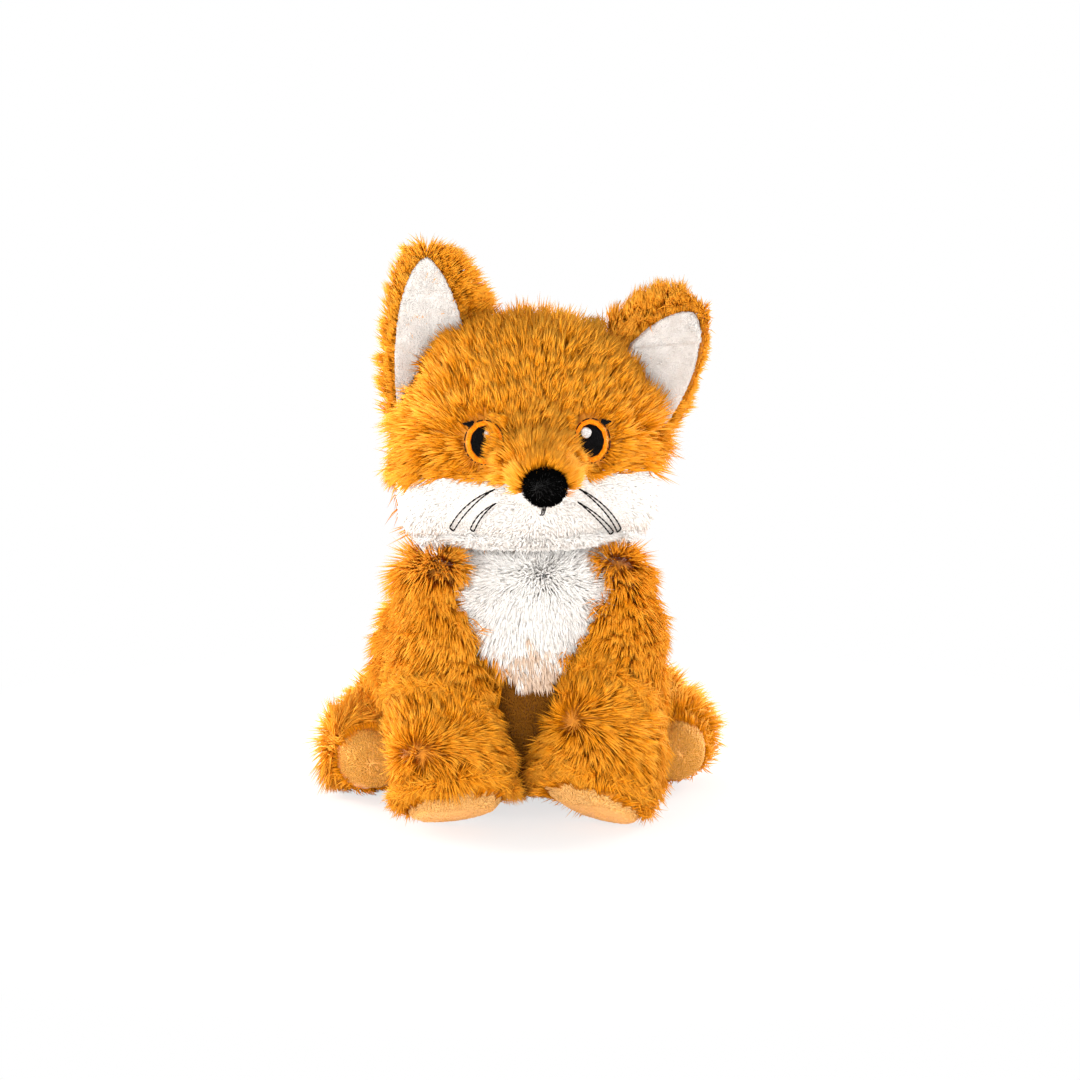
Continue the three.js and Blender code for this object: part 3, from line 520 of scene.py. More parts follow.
makeCover("torso", [hullCopy(["torso_skin", "chest_bib", "belly_panel"])], [
    ("torso_skin", "plush", goldShadeBacking),
    ("chest_bib", "bibPlush", whiteBacking),
    ("belly_panel", "velboa", bellyShadeBacking),
])
makeCover("neck", [hullCopy(["neck_plug"])], [("neck_plug", "plush", goldShadeBacking)], voxel=2.5)
makeCover("head", [
    hullCopy(["head_skin", "cheek_panel"]),
    hullCopy(["muzzle_bridge", "muzzle_chin"]),
], [
    ("head_skin", "plush", goldShadeBacking),
    ("muzzle_bridge", "plush", goldShadeBacking),
    ("cheek_panel", "shortPlush", whiteBacking),
    ("muzzle_chin", "shortPlush", whiteBacking),
], voxel=2.0)
for name in sideSigns:
    for leg in ("front", "hind"):
        parts = [f"{leg}_leg_skin_{name}", f"{leg}_pad_{name}", f"{leg}_leg_stuffing_{name}"]
        makeCover(f"{leg}_leg_{name}", [closedCopy(parts)], [
            (parts[0], "plush", goldShadeBacking),
            (parts[1], "velboa", tanBacking),
        ], voxel=2.0)
makeCover("tail", [closedCopy(["tail_skin", "tail_tip", "tail_stuffing"])], [
    ("tail_skin", "plush", goldShadeBacking),
    ("tail_tip", "bibPlush", whiteBacking),
], voxel=2.0)
print("covers made:", {k: len(v["mesh"].vertices) for k, v in covers.items()})

# Which way the pile lies, how long it is and where it is left out

swirlRandom = np.random.default_rng(7)
swirlWaves = swirlRandom.normal(size=(6, 3, 3))
swirlPhases = swirlRandom.uniform(0, 2 * math.pi, (6, 3))


def swirl(points, size):
    # A soft random direction that changes over about this many millimetres
    waves = np.einsum("kij,nj->nki", swirlWaves, points / (size * mm))
    return np.sin(waves + swirlPhases[None]).mean(axis=1) * 1.6


def unit(vectors):
    return vectors / np.linalg.norm(vectors, axis=-1, keepdims=True).clip(1e-9)


def laidFlat(vectors, no):
    # The part of each vector that lies in the surface
    return unit(vectors - no * np.sum(vectors * no, axis=1, keepdims=True))


def roomAbove(points, no, others, reach):
    # How far the pile can stand before it meets a neighbour's cover
    trees = [treeOf(covers[o]["mesh"]) for o in others]
    room = np.full(len(points), reach)
    for i, (p, n) in enumerate(zip(points, no)):
        start, way = Vector(p), Vector(n)
        for tree in trees:
            hit = tree.ray_cast(start + way * 0.2 * mm, way, reach)
            if hit[0] is not None:
                room[i] = min(room[i], hit[3])
            near = tree.find_nearest(start, 12 * mm)
            if near[0] is not None and (start - near[0]).dot(near[1]) < 0:
                room[i] = 0
    return room


neighbours = {
    "torso": ["front_leg_right", "front_leg_left", "hind_leg_right", "hind_leg_left", "head", "tail"],
    "neck": ["torso", "head"],
    "head": ["torso"],
    "front_leg_right": ["torso", "front_leg_left", "hind_leg_right"],
    "front_leg_left": ["torso", "front_leg_right", "hind_leg_left"],
    "hind_leg_right": ["torso", "front_leg_right"],
    "hind_leg_left": ["torso", "front_leg_left"],
    "tail": ["torso"],
}
for body, cover in covers.items():
    mesh = cover["mesh"]
    cover["co"], cover["no"] = coordinates(mesh), normals(mesh)
    cover["room"] = roomAbove(cover["co"], cover["no"], neighbours[body], 12 * mm)


def jointPlace(name):
    return np.array([j for j in frame["joints"] if j["name"] == name][0]["pos_m"])


def distanceTo(points, others):
    # From each point to the nearest of the others
    tree = KDTree(len(others))
    for i, p in enumerate(others):
        tree.insert(p, i)
    tree.balance()
    return np.array([tree.find(p)[2] for p in points])


noseCentre = boxMiddle("nose")
eyeSizes = {"halfWidth": 6.9, "halfHeight": 7.7, "ring": 1.9, "outAngle": 18, "upAngle": 7}
eyeCentres = {name: boxMiddle(f"eye_ring_{name}") for name in sideSigns}


def eyeFrame(name):
    # Across, up and out of the face, as the embroidery lies on it
    out = math.radians(sideSigns[name] * eyeSizes["outAngle"])
    up = math.radians(eyeSizes["upAngle"])
    normal = np.array((math.sin(out) * math.cos(up), -math.cos(out) * math.cos(up), math.sin(up)))
    across = np.array((math.cos(out), math.sin(out), 0))
    return across, np.cross(normal, across), normal


# Whiskers: each is a slim loop of running stitch, in millimetres across and up
whiskers = {
    ("right", "upper"): {"root": (15.5, 122), "tip": (30.5, 107), "bow": 3.6, "width": 2.0},
    ("right", "lower"): {"root": (15, 117), "tip": (23.5, 107), "bow": 2.2, "width": 1.6},
    ("left", "upper"): {"root": (14.5, 122), "tip": (32, 104.5), "bow": 3.0, "width": 1.8},
    ("left", "lower"): {"root": (14.5, 117), "tip": (29, 104), "bow": 1.2, "width": 1.6},
}
whiskerGround = [nodeTrees[n] for n in ("cheek_panel", "muzzle_chin", "head_skin")]


def bowed(start, control, end, count):
    t = np.linspace(0, 1, count)[:, None]
    return (1 - t) ** 2 * start + 2 * t * (1 - t) * control + t * t * end


def whiskerLine(side, level, count=40):
    # Out along the outer edge, across the tip and back along the inner edge
    size, sign = whiskers[side, level], sideSigns[side]
    start, end = (np.array(size[k], float) * (sign, 1) for k in ("root", "tip"))
    along = unit(end - start)
    across = np.array((-along[1], along[0])) * sign
    middle = (start + end) / 2
    inner = end - across * size["width"]
    out = bowed(start, middle + across * (size["bow"] + size["width"] / 2), end, count)
    back = bowed(inner, middle + across * (size["bow"] - size["width"] / 2), start - along * 0.4, count)
    flat = np.vstack([out, back]) * mm
    found = []
    for x, z in flat:
        hits = [t.ray_cast(Vector((x, -0.09, z)), Vector((0, 1, 0)))[0] for t in whiskerGround]
        found.append((x, min(h.y for h in hits if h is not None) - 0.3 * mm, z))
    return np.array(found)


whiskerLines = {key: whiskerLine(*key) for key in whiskers}

# Combs: the way the pile is brushed on each part

def softUnit(vectors, reach):
    # Unit vectors, but shorter within reach of the middle
    return vectors / np.maximum(np.linalg.norm(vectors, axis=1, keepdims=True), reach * mm)


def combTorso(points, no):
    # Down, and over the top edge to the front or the back
    over = eased(points[:, 1:2], -0.01, 0.02) * 2 - 1
    down = np.array((0, 0, -1.0)) + over * np.array((0, 0.45, 0))
    return down + softUnit(points * np.array((1, 0.3, 0)), 30) * 0.35


def combHead(points, no):
    away = unit(points - noseCentre)
    back = eased(points[:, 1:2], -0.01, 0.02)
    return away * (1 - 0.6 * back) + np.array((0, 0.1, -1.0)) * back * 0.9


def combAlong(start, end, flare):
    axis = unit(end - start)

    def comb(points, no):
        along = (points - start) @ axis
        out = points - start - along[:, None] * axis
        return axis + softUnit(out, 12) * flare
    return comb


whorls = {"right": (-8, 6, 15), "left": (-4, 6, 21)}


def combFrontLeg(name):
    # Down the leg, and in a whorl on the paw
    pad = boxMiddle(f"front_pad_{name}")
    straight = combAlong(jointPlace(f"front_leg_swing_{name}"), pad, 0.35)
    whorl = pad + np.array(whorls[name]) * mm

    def comb(points, no):
        paw = 1 - eased(np.linalg.norm(points - whorl, axis=1), 22 * mm, 34 * mm)[:, None]
        forward = np.array((0, -0.3, 0)) * eased(points[:, 2:3], 0.08, 0.094)
        return (straight(points, no) + forward) * (1 - paw) + unit(points - whorl) * paw * 1.6
    return comb


def combHindLeg(name):
    # A sunburst round the sole, and down the haunch behind it
    pad = boxMiddle(f"hind_pad_{name}")

    def comb(points, no):
        ring = 1 - eased(points[:, 1], -4 * mm, 16 * mm)[:, None]
        burst = unit((points - pad) * np.array((1, 0.2, 1))) + np.array((0, -0.25, 0))
        return burst * ring + (unit(points - pad) * 0.6 + np.array((0, 0.3, -0.5))) * (1 - ring)
    return comb


combs = {"torso": combTorso, "neck": combTorso, "head": combHead}
for name in sideSigns:
    combs[f"front_leg_{name}"] = combFrontLeg(name)
    combs[f"hind_leg_{name}"] = combHindLeg(name)
combs["tail"] = combAlong(boxMiddle("tail_skin") * np.array((1, 0.8, 0)), boxMiddle("tail_tip"), 0.2)

# How the nap strays: its direction over long and short stretches, its lean and its length
nap = {"stray": 0.8, "fineStray": 0.5, "lean": 0.57, "leanStray": 0.13, "pileStray": 0.2, "thinnerBack": 0.35}

for body, cover in covers.items():
    co, no = cover["co"], cover["no"]
    way = combs[body](co, no) + swirl(co, 22) * nap["stray"] + swirl(co + 0.3, 9) * nap["fineStray"]
    cover["comb"] = laidFlat(way, no)
    cover["lean"] = nap["lean"] + nap["leanStray"] * swirl(co + 0.7, 14)[:, 0]
    cover["pile"] = 1 + nap["pileStray"] * swirl(co + 1.1, 12)[:, 1]
    # The back, that fewer look at, has fewer strands
    cover["cover"] = 1 - nap["thinnerBack"] * eased(no[:, 1], 0.1, 0.7)
    cover["patch"] = np.clip(0.5 + 0.5 * swirl(co + 1.9, 16)[:, 2], 0, 1)

# On the face the pile is short and brushed upwards, long round the muzzle, and hangs at the cheeks
head = covers["head"]
x, y, z = (head["co"] / mm).T
gold, bridge = head["region"] == 0, head["region"] == 1
white = head["region"] >= 2
front = 1 - eased(y, -20, 0)
temples = eased(abs(x), 30, 44) * (1 - eased(z, 140, 160))
crown = eased(head["no"][:, 2], 0.5, 0.95)
behindCheek = (1 - eased(z, 112, 126)) * gold
head["pile"] += np.where(gold, 0.4 * temples - 0.1 * front * (1 - temples) + 0.3 * crown, 0)
head["pile"] *= 1 - 0.75 * behindCheek
head["lean"] += 0.2 * behindCheek
# Painted light and shade in the tone: the crown lighter, the temples darker, and the white of the face a
# shade darker
head["patch"] = np.where(white, 0.4 * head["patch"], head["patch"] + 0.25 * crown - 0.25 * temples)
head["pile"][bridge] = 1.15
aroundBridge = 1 - eased(distanceTo(head["co"], head["co"][bridge]), 1 * mm, 10 * mm)
head["pile"][gold] += 0.12 * aroundBridge[gold]
head["lean"] = np.where(gold | bridge, head["lean"] + 0.04 - 0.1 * aroundBridge * gold, head["lean"])
hanging = 1 - eased(z, 96, 116)
sides = eased(abs(x), 28, 44)
head["pile"] += np.where(white, 0.8 * hanging + 0.4 * sides + 0.4 * hanging * sides, 0)
droop = laidFlat(np.array((0, -0.3, -1.0)) + unit(head["co"] * np.array((1, 1, 0))) * 0.5, head["no"])
lowWhite = (hanging * white)[:, None]
head["comb"] = unit(head["comb"] * (1 - 0.7 * lowWhite) + droop * lowWhite)
head["lean"] = np.where(white, 0.7 - 0.08 * hanging, head["lean"] - 0.1 * crown)

# The embroidery and the nose press the pile away
innerPile = {"right": 0.75, "left": 0.6}
for name in sideSigns:
    across, up, out = eyeFrame(name)
    offset = head["co"] - eyeCentres[name]
    u = offset @ across / ((eyeSizes["halfWidth"] + 0.9) * mm)
    v = offset @ up / ((eyeSizes["halfHeight"] + 0.7) * mm)
    fromEye = np.sqrt(u * u + v * v)
    inward = -u * sideSigns[name]
    facing = (offset @ out > -9 * mm) & (head["no"] @ out > 0.3)
    inside = (fromEye < 1) & facing
    head["cover"][inside & (gold | (head["region"] == 2))] = 0
    # Pile of the muzzle stands over the inner corner of the eye, and all other pile is brushed away from it
    nearEye = (1 - eased(fromEye, 1.0, 1.7)) * (gold | bridge) * facing
    inner = nearEye * eased(inward, 0.25, 0.7)
    outer = (nearEye - inner)[:, None]
    head["pile"] *= 1 - inner * (1 - innerPile[name]) - 0.25 * outer[:, 0]
    head["cover"] *= 1 + 1.2 * inner
    head["comb"] = laidFlat(head["comb"] * (1 - 0.8 * outer) + 0.8 * outer * unit(offset), head["no"])
    head["lean"] += 0.1 * outer[:, 0]
noseAway = head["co"] - noseCentre
noseReach = (noseAway[:, 0] / (8.4 * mm)) ** 2 + (noseAway[:, 2] / (7.4 * mm)) ** 2
aroundNose = (1 - eased(noseReach, 1, 2.6)) * (noseAway[:, 1] < 12 * mm)
head["pile"] *= 1 - 0.35 * aroundNose
head["cover"] *= 1 + 0.6 * aroundNose
head["cover"][(noseReach < 0.5) & (noseAway[:, 1] < 9 * mm)] = 0
stitched = distanceTo(head["co"], np.vstack(list(whiskerLines.values())))
head["pile"] *= 0.45 + 0.55 * eased(stitched, 2 * mm, 4 * mm)

for name in sideSigns:
    for leg, ringPile in (("front", 0.15), ("hind", 0.3)):
        cover = covers[f"{leg}_leg_{name}"]
        pad = cover["region"] == 1
        middle = boxMiddle(f"{leg}_pad_{name}")
        away = laidFlat(cover["co"] - middle, cover["no"])
        fromPad = distanceTo(cover["co"], cover["co"][pad])
        near = (1 - eased(fromPad, 2 * mm, 10 * mm))[:, None]
        cover["comb"] = np.where(pad[:, None], away, unit(cover["comb"] * (1 - near) + away * near))
        cover["lean"] = np.where(pad, 0.75, cover["lean"] + 0.1 * near[:, 0])
        nearPile = 1 + ringPile - (0.5 + ringPile) * (1 - eased(fromPad, 1 * mm, 5 * mm))
        farther = eased(fromPad, 18 * mm, 30 * mm)
        cover["pile"] = np.where(pad, 1.0, cover["pile"] * (nearPile * (1 - farther) + farther))

torso = covers["torso"]
bib = torso["region"] == 1
x, y, z = (torso["co"] / mm).T
flank = flankOf(x, z)
torso["pile"] += 0.2 * flank
torso["lean"] -= 0.15 * flank
chest = eased(torso["co"][:, 2], 72 * mm, 88 * mm)
torso["pile"] += 0.5 * chest * bib
torso["lean"] -= 0.12 * chest * bib
# The bib fans out over the legs
fanned = eased(abs(torso["co"][:, 0]), 12 * mm, 25 * mm) * bib
fanned = fanned * eased(torso["co"][:, 2], 56 * mm, 68 * mm)
sideways = np.sign(torso["co"][:, :1]) * np.array((1.0, -0.4, 0)) * fanned[:, None]
torso["comb"] = laidFlat(torso["comb"] + sideways * 1.4, torso["no"])
torso["pile"] += 0.6 * fanned
# The bib's tone lifted: painted light in its shade
torso["patch"] += 0.4 * bib
torso["lean"] -= 0.15 * fanned
torso["room"] = np.where(bib, np.maximum(torso["room"], 6 * mm), torso["room"])
for name in sideSigns:
    leg = covers[f"front_leg_{name}"]
    shoulder = eased(leg["co"][:, 2], 80 * mm, 92 * mm)
    leg["pile"] += (0.4 if name == "right" else 0.15) * shoulder
    leg["lean"] -= 0.1 * shoulder
    whorl = boxMiddle(f"front_pad_{name}") + np.array(whorls[name]) * mm
    fromWhorl = np.linalg.norm(leg["co"] - whorl, axis=1)
    # Painted shade darkens the tone round the whorl, and painted light lifts it on the shoulders
    leg["patch"] = leg["patch"] * (0.3 + 0.7 * eased(fromWhorl, 10 * mm, 17 * mm)) + 0.25 * shoulder
    besideBib = eased(-sideSigns[name] * leg["no"][:, 0], 0.1, 0.8)
    besideBib = besideBib * eased(leg["co"][:, 2], 56 * mm, 68 * mm)
    leg["pile"] *= 1 - 0.45 * besideBib
    leg["lean"] += 0.15 * besideBib
    hind = covers[f"hind_leg_{name}"]
    # Painted light lifts the tone of the hind legs
    hind["patch"] += 0.3
    hind["pile"] += 0.15 * eased(sideSigns[name] * hind["no"][:, 0], 0, 0.8) * (hind["region"] == 0)

for body, cover in covers.items():
    co, no = cover["co"], cover["no"]
    room = cover["room"] / mm
    # Squeezed between two covers, the pile is shorter, and where they lie in each other there is none
    cover["pile"] *= np.clip(room / 7.0, 0.3, 1)
    cover["cover"] *= (room > 0.8) * np.clip(room / 7.0, 0.45, 1)
    under = (no[:, 2] < -0.6) & (co[:, 2] < 9 * mm)
    cover["pile"][under] *= 0.5
    cover["cover"][under] *= 0.6


# The fur tree: strands scattered on a cover, leaning with the nap and drawn together into tufts

furInputs = {
    "Density": ("NodeSocketFloat", 3.6),
    "Length": ("NodeSocketFloat", 7.0),
    "Width": ("NodeSocketFloat", 0.6),
    "Curl": ("NodeSocketFloat", 0.25),
    "Tuft Size": ("NodeSocketFloat", 3.0),
    "Tuft Pull": ("NodeSocketFloat", 0.4),
    "Disorder": ("NodeSocketFloat", 0.2),
    "Seed": ("NodeSocketInt", 1),
    "Pile": ("NodeSocketMaterial", None),
}


def newTree(name, inputs):
    tree = bpy.data.node_groups.new(name, "GeometryNodeTree")
    tree.interface.new_socket("Geometry", in_out="INPUT", socket_type="NodeSocketGeometry")
    for key, (kind, value) in inputs.items():
        socket = tree.interface.new_socket(key, in_out="INPUT", socket_type=kind)
        if value is not None:
            socket.default_value = value
    tree.interface.new_socket("Geometry", in_out="OUTPUT", socket_type="NodeSocketGeometry")
    return tree, addNode(tree, "NodeGroupInput").outputs


def furTree():
    tree, given = newTree("plushPile", furInputs)

    def calc(operation, a, b=0.0, c=0.0):
        return addNode(tree, "ShaderNodeMath", {0: a, 1: b, 2: c}, operation=operation).outputs[0]

    def scaled(a, scale):
        return addNode(tree, "ShaderNodeVectorMath", {0: a, "Scale": scale}, operation="SCALE").outputs[0]

    def added(a, b, operation="ADD"):
        return addNode(tree, "ShaderNodeVectorMath", {0: a, 1: b}, operation=operation).outputs[0]

    def named(name, kind):
        node = addNode(tree, "GeometryNodeInputNamedAttribute", {"Name": name}, data_type=kind)
        return node.outputs[0]

    def chance(low, high, seed):
        ends = {0: low, 1: high} if isinstance(low, tuple) else {2: low, 3: high}
        ends["Seed"] = calc("ADD", given["Seed"], seed)
        kind = "FLOAT_VECTOR" if isinstance(low, tuple) else "FLOAT"
        return addNode(tree, "FunctionNodeRandomValue", ends, data_type=kind).outputs[0 if 0 in ends else 1]

    def stored(geometry, name, value, kind="FLOAT", domain="POINT"):
        return addNode(tree, "GeometryNodeStoreNamedAttribute", {
            "Geometry": geometry, "Name": name, "Value": value,
        }, data_type=kind, domain=domain).outputs[0]

    # One strand: a slim three-sided spindle, widest a little above its middle, that bends over
    length = calc("MULTIPLY", given["Length"], mm)
    halfWidth = calc("MULTIPLY", given["Width"], mm / 2)
    spindle = addNode(tree, "GeometryNodeMeshUVSphere", {"Segments": 3, "Rings": 2, "Radius": 1.0})
    place = addNode(tree, "GeometryNodeInputPosition").outputs[0]
    at = addNode(tree, "ShaderNodeSeparateXYZ", {"Vector": place}).outputs
    even = calc("MULTIPLY_ADD", at["Z"], 0.5, 0.5)
    along = calc("MULTIPLY_ADD", calc("MULTIPLY", even, calc("SUBTRACT", 1.0, even)), 0.4, even)
    bend = calc("MULTIPLY", calc("MULTIPLY", along, along), calc("MULTIPLY", length, given["Curl"]))
    shaped = addNode(tree, "ShaderNodeCombineXYZ", {
        "X": calc("MULTIPLY_ADD", at["X"], halfWidth, bend),
        "Y": calc("MULTIPLY", at["Y"], halfWidth),
        "Z": calc("MULTIPLY", along, length),
    })
    marked = stored(spindle.outputs["Mesh"], "along", along)
    marked = stored(marked, "across", calc("MULTIPLY", at["Y"], 0.5))
    strand = addNode(tree, "GeometryNodeSetPosition", {"Geometry": marked, "Position": shaped.outputs[0]})

    # Where the strands stand and which way they point
    scatter = addNode(tree, "GeometryNodeDistributePointsOnFaces", {
        "Mesh": given["Geometry"],
        "Density": calc("MULTIPLY", calc("MULTIPLY", given["Density"], 1e6), named("cover", "FLOAT")),
        "Seed": given["Seed"],
    })
    spot = addNode(tree, "GeometryNodeInputPosition").outputs[0]
    finer = calc("DIVIDE", 1000.0, given["Tuft Size"])
    cells = addNode(tree, "ShaderNodeTexVoronoi", {"Vector": spot, "Scale": finer, "Randomness": 1.0})
    gather = scaled(
        added(cells.outputs["Position"], spot, "SUBTRACT"), calc("MULTIPLY", finer, given["Tuft Pull"]),
    )
    coarser = calc("MULTIPLY", finer, 0.36)
    locks = addNode(tree, "ShaderNodeTexVoronoi", {"Vector": spot, "Scale": coarser, "Randomness": 1.0})
    drawn = scaled(
        added(locks.outputs["Position"], spot, "SUBTRACT"), calc("MULTIPLY", coarser, given["Tuft Pull"]),
    )
    gather = added(gather, drawn)
    stray = scaled(chance((-1, -1, -1), (1, 1, 1), 11), given["Disorder"])
    lean, comb = named("lean", "FLOAT"), named("comb", "FLOAT_VECTOR")
    upright = scaled(scatter.outputs["Normal"], calc("SUBTRACT", 1.0, lean))
    way = added(added(upright, scaled(comb, lean)), added(gather, stray))
    turn = addNode(tree, "FunctionNodeAxesToRotation", {
        "Primary Axis": way, "Secondary Axis": comb,
    }, primary_axis="Z", secondary_axis="X")
    tall = calc("MULTIPLY", named("pile", "FLOAT"), chance(0.7, 1.1, 23))
    broad = chance(0.7, 1.25, 37)
    size = addNode(tree, "ShaderNodeCombineXYZ", {"X": broad, "Y": broad, "Z": tall})
    planted = addNode(tree, "GeometryNodeInstanceOnPoints", {
        "Points": scatter.outputs["Points"], "Instance": strand.outputs[0],
        "Rotation": turn.outputs[0], "Scale": size.outputs[0],
    })
    # Each patch of fur and each tuft has its own tone, and each strand strays from it; the patch tone also
    # carries painted light and shade
    tuftTone = addNode(tree, "ShaderNodeSeparateXYZ", {"Vector": cells.outputs["Color"]}).outputs[0]
    patchTone = calc("MULTIPLY_ADD", named("patch", "FLOAT"), 0.36, chance(0.0, 0.32, 51))
    tone = calc("MULTIPLY_ADD", tuftTone, 0.3, patchTone)
    toned = stored(planted.outputs[0], "tone", tone, domain="INSTANCE")
    real = addNode(tree, "GeometryNodeRealizeInstances", {"Geometry": toned})
    # No strand reaches below the floor
    end = addNode(tree, "GeometryNodeInputPosition").outputs[0]
    endAt = addNode(tree, "ShaderNodeSeparateXYZ", {"Vector": end}).outputs
    above = addNode(tree, "ShaderNodeCombineXYZ", {
        "X": endAt["X"], "Y": endAt["Y"], "Z": calc("MAXIMUM", endAt["Z"], 0.3 * mm),
    })
    held = addNode(tree, "GeometryNodeSetPosition", {
        "Geometry": real.outputs[0], "Position": above.outputs[0],
    })
    mapAt = addNode(tree, "ShaderNodeCombineXYZ", {
        "X": calc("MULTIPLY_ADD", named("across", "FLOAT"), 0.04, named("tone", "FLOAT")),
        "Y": calc("MULTIPLY_ADD", named("along", "FLOAT"), 0.98, 0.01),
    })
    mapped = stored(held.outputs[0], strandMap, mapAt.outputs[0], "FLOAT2", "CORNER")
    smooth = addNode(tree, "GeometryNodeSetShadeSmooth", {"Geometry": mapped})
    dyed = addNode(tree, "GeometryNodeSetMaterial", {
        "Geometry": smooth.outputs[0], "Material": given["Pile"],
    })
    addNode(tree, "NodeGroupOutput", {"Geometry": dyed.outputs[0]})
    return tree


plushPile = furTree()
furCount = {"strands": 0}


def grown(mesh, tree, values):
    # The plain mesh that a node tree makes of this one
    obj = linked("grown", mesh)
    modifier = obj.modifiers.new("grown", "NODES")
    modifier.node_group = tree
    for item in tree.interface.items_tree:
        if item.item_type == "SOCKET" and item.in_out == "INPUT" and item.name in values:
            modifier[item.identifier] = values[item.name]
    made = evaluatedMesh(obj)
    dropped(obj)
    return made


def growFur(name, patch, body, slotName, material, seed, **sizes):
    # patch: an emitter mesh with its nap marked on it
    mesh = grown(patch, plushPile, dict(sizes, Seed=seed, Pile=material))
    for spare in ("along", "across", "tone", "comb", "lean", "pile", "cover", "patch"):
        if spare in mesh.attributes:
            mesh.attributes.remove(mesh.attributes[spare])
    piece = linked(name, mesh)
    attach(piece, body)
    furCount["strands"] += len(mesh.polygons) // 6
    print("fur", name, len(mesh.polygons))


def subMesh(mesh, marks, chosen=None):
    # All or the chosen faces of a mesh, with point attributes
    co = coordinates(mesh)
    kept = range(len(mesh.polygons)) if chosen is None else np.flatnonzero(chosen)
    faces = [list(mesh.polygons[i].vertices) for i in kept]
    used = sorted({v for f in faces for v in f})
    index = {v: i for i, v in enumerate(used)}
    part = bpy.data.meshes.new("patch")
    part.from_pydata([tuple(co[v]) for v in used], [], [[index[v] for v in f] for f in faces])
    for key, values in marks.items():
        kind = "FLOAT_VECTOR" if values.ndim == 2 else "FLOAT"
        attribute = part.attributes.new(key, kind, "POINT")
        picked = values[used].astype(np.float32).ravel()
        attribute.data.foreach_set("vector" if values.ndim == 2 else "value", picked)
    part.update()
    return part


def faceCentres(mesh):
    centres = np.empty(len(mesh.polygons) * 3)
    mesh.polygons.foreach_get("center", centres)
    return centres.reshape(-1, 3)


def faceRegions(mesh, region):
    # The region of a face's first corner
    first = np.empty(len(mesh.polygons), np.int64)
    mesh.polygons.foreach_get("loop_start", first)
    vertex = np.empty(len(mesh.loops), np.int64)
    mesh.loops.foreach_get("vertex_index", vertex)
    return region[vertex[first]]


def smoothShaded(mesh):
    mesh.polygons.foreach_set("use_smooth", np.ones(len(mesh.polygons), bool))
    return mesh


def addPadded(name, mesh, body, replaced):
    piece = linked(name, mesh)
    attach(piece, body)
    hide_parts(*replaced)


def furOf(body, regions, split=None):
    # An emitter for some of a cover's regions, and for the faces that split keeps
    cover = covers[body]
    mesh = cover["mesh"]
    found = np.isin(faceRegions(mesh, cover["region"]), regions)
    if split is not None:
        found &= split(faceCentres(mesh))
    marks = {key: cover[key] for key in ("comb", "lean", "pile", "cover", "patch")}
    return subMesh(mesh, marks, found)


stuffed = {
    "torso": ["torso_skin", "chest_bib", "belly_panel", "torso_stuffing", "pellet_pouch"],
    "neck": ["neck_plug"],
    "head": ["head_skin", "muzzle_bridge", "cheek_panel", "muzzle_chin", "head_stuffing", "muzzle_stuffing"],
    "tail": ["tail_skin", "tail_tip", "tail_stuffing"],
}
for name in sideSigns:
    for leg in ("front", "hind"):
        stuffed[f"{leg}_leg_{name}"] = [
            f"{leg}_leg_skin_{name}", f"{leg}_pad_{name}", f"{leg}_leg_stuffing_{name}",
        ]

plush = {"Density": 4.1, "Length": 9.2, "Width": 0.48, "Curl": 0.34,
         "Tuft Size": 3.8, "Tuft Pull": 0.4, "Disorder": 0.2}
shortPlush = {"Density": 4.6, "Length": 3.4, "Width": 0.62, "Curl": 0.3,
              "Tuft Size": 3.0, "Tuft Pull": 0.02, "Disorder": 0.16}
bibPlush = {"Density": 7.5, "Length": 6.6, "Width": 0.5, "Curl": 0.45,
            "Tuft Size": 3.2, "Tuft Pull": 0.1, "Disorder": 0.26}
velboa = {"Density": 8.0, "Length": 1.9, "Width": 0.38, "Curl": 0.3,
          "Tuft Size": 2.0, "Tuft Pull": 0.05, "Disorder": 0.12}

for body, parts in stuffed.items():
    # The stuffed cover itself, in its backing cloths
    cover = covers[body]
    mesh = smoothShaded(cover["mesh"])
    for _, _, backing in cover["regions"]:
        mesh.materials.append(backing)
    regions = faceRegions(mesh, cover["region"])
    mesh.polygons.foreach_set("material_index", regions.astype(np.int32))
    addPadded(f"{body}_cover", mesh, body, parts)

growFur("torso_fur_front", furOf("torso", [0], lambda c: c[:, 1] < 0.006),
        "torso", "gold_plush", goldPile, 3, **plush)
for index, (name, side) in enumerate(sideSigns.items()):
    growFur(f"torso_fur_back_{name}",
            furOf("torso", [0], lambda c: (c[:, 1] >= 0.006) & (c[:, 0] * side >= 0)),
            "torso", "gold_plush", goldPile, 60 + index, **plush)
    growFur(f"head_fur_{name}", furOf("head", [0], lambda c: c[:, 0] * side >= 0),
            "head", "gold_plush", goldPile, 8 + index, **plush)
bibRandom = np.random.default_rng(31).normal(size=len(covers["torso"]["mesh"].polygons)) * 4 * mm
growFur("bib_fur", furOf("torso", [1], lambda c: c[:, 2] + bibRandom > 61 * mm),
        "torso", "white_plush", whitePile, 5, **bibPlush)
# The lower end of the bib takes the white plush with painted warm shade
growFur("bib_end_fur", furOf("torso", [1], lambda c: c[:, 2] + bibRandom <= 61 * mm),
        "torso", "white_plush", bibEndShadePile, 14, **bibPlush)
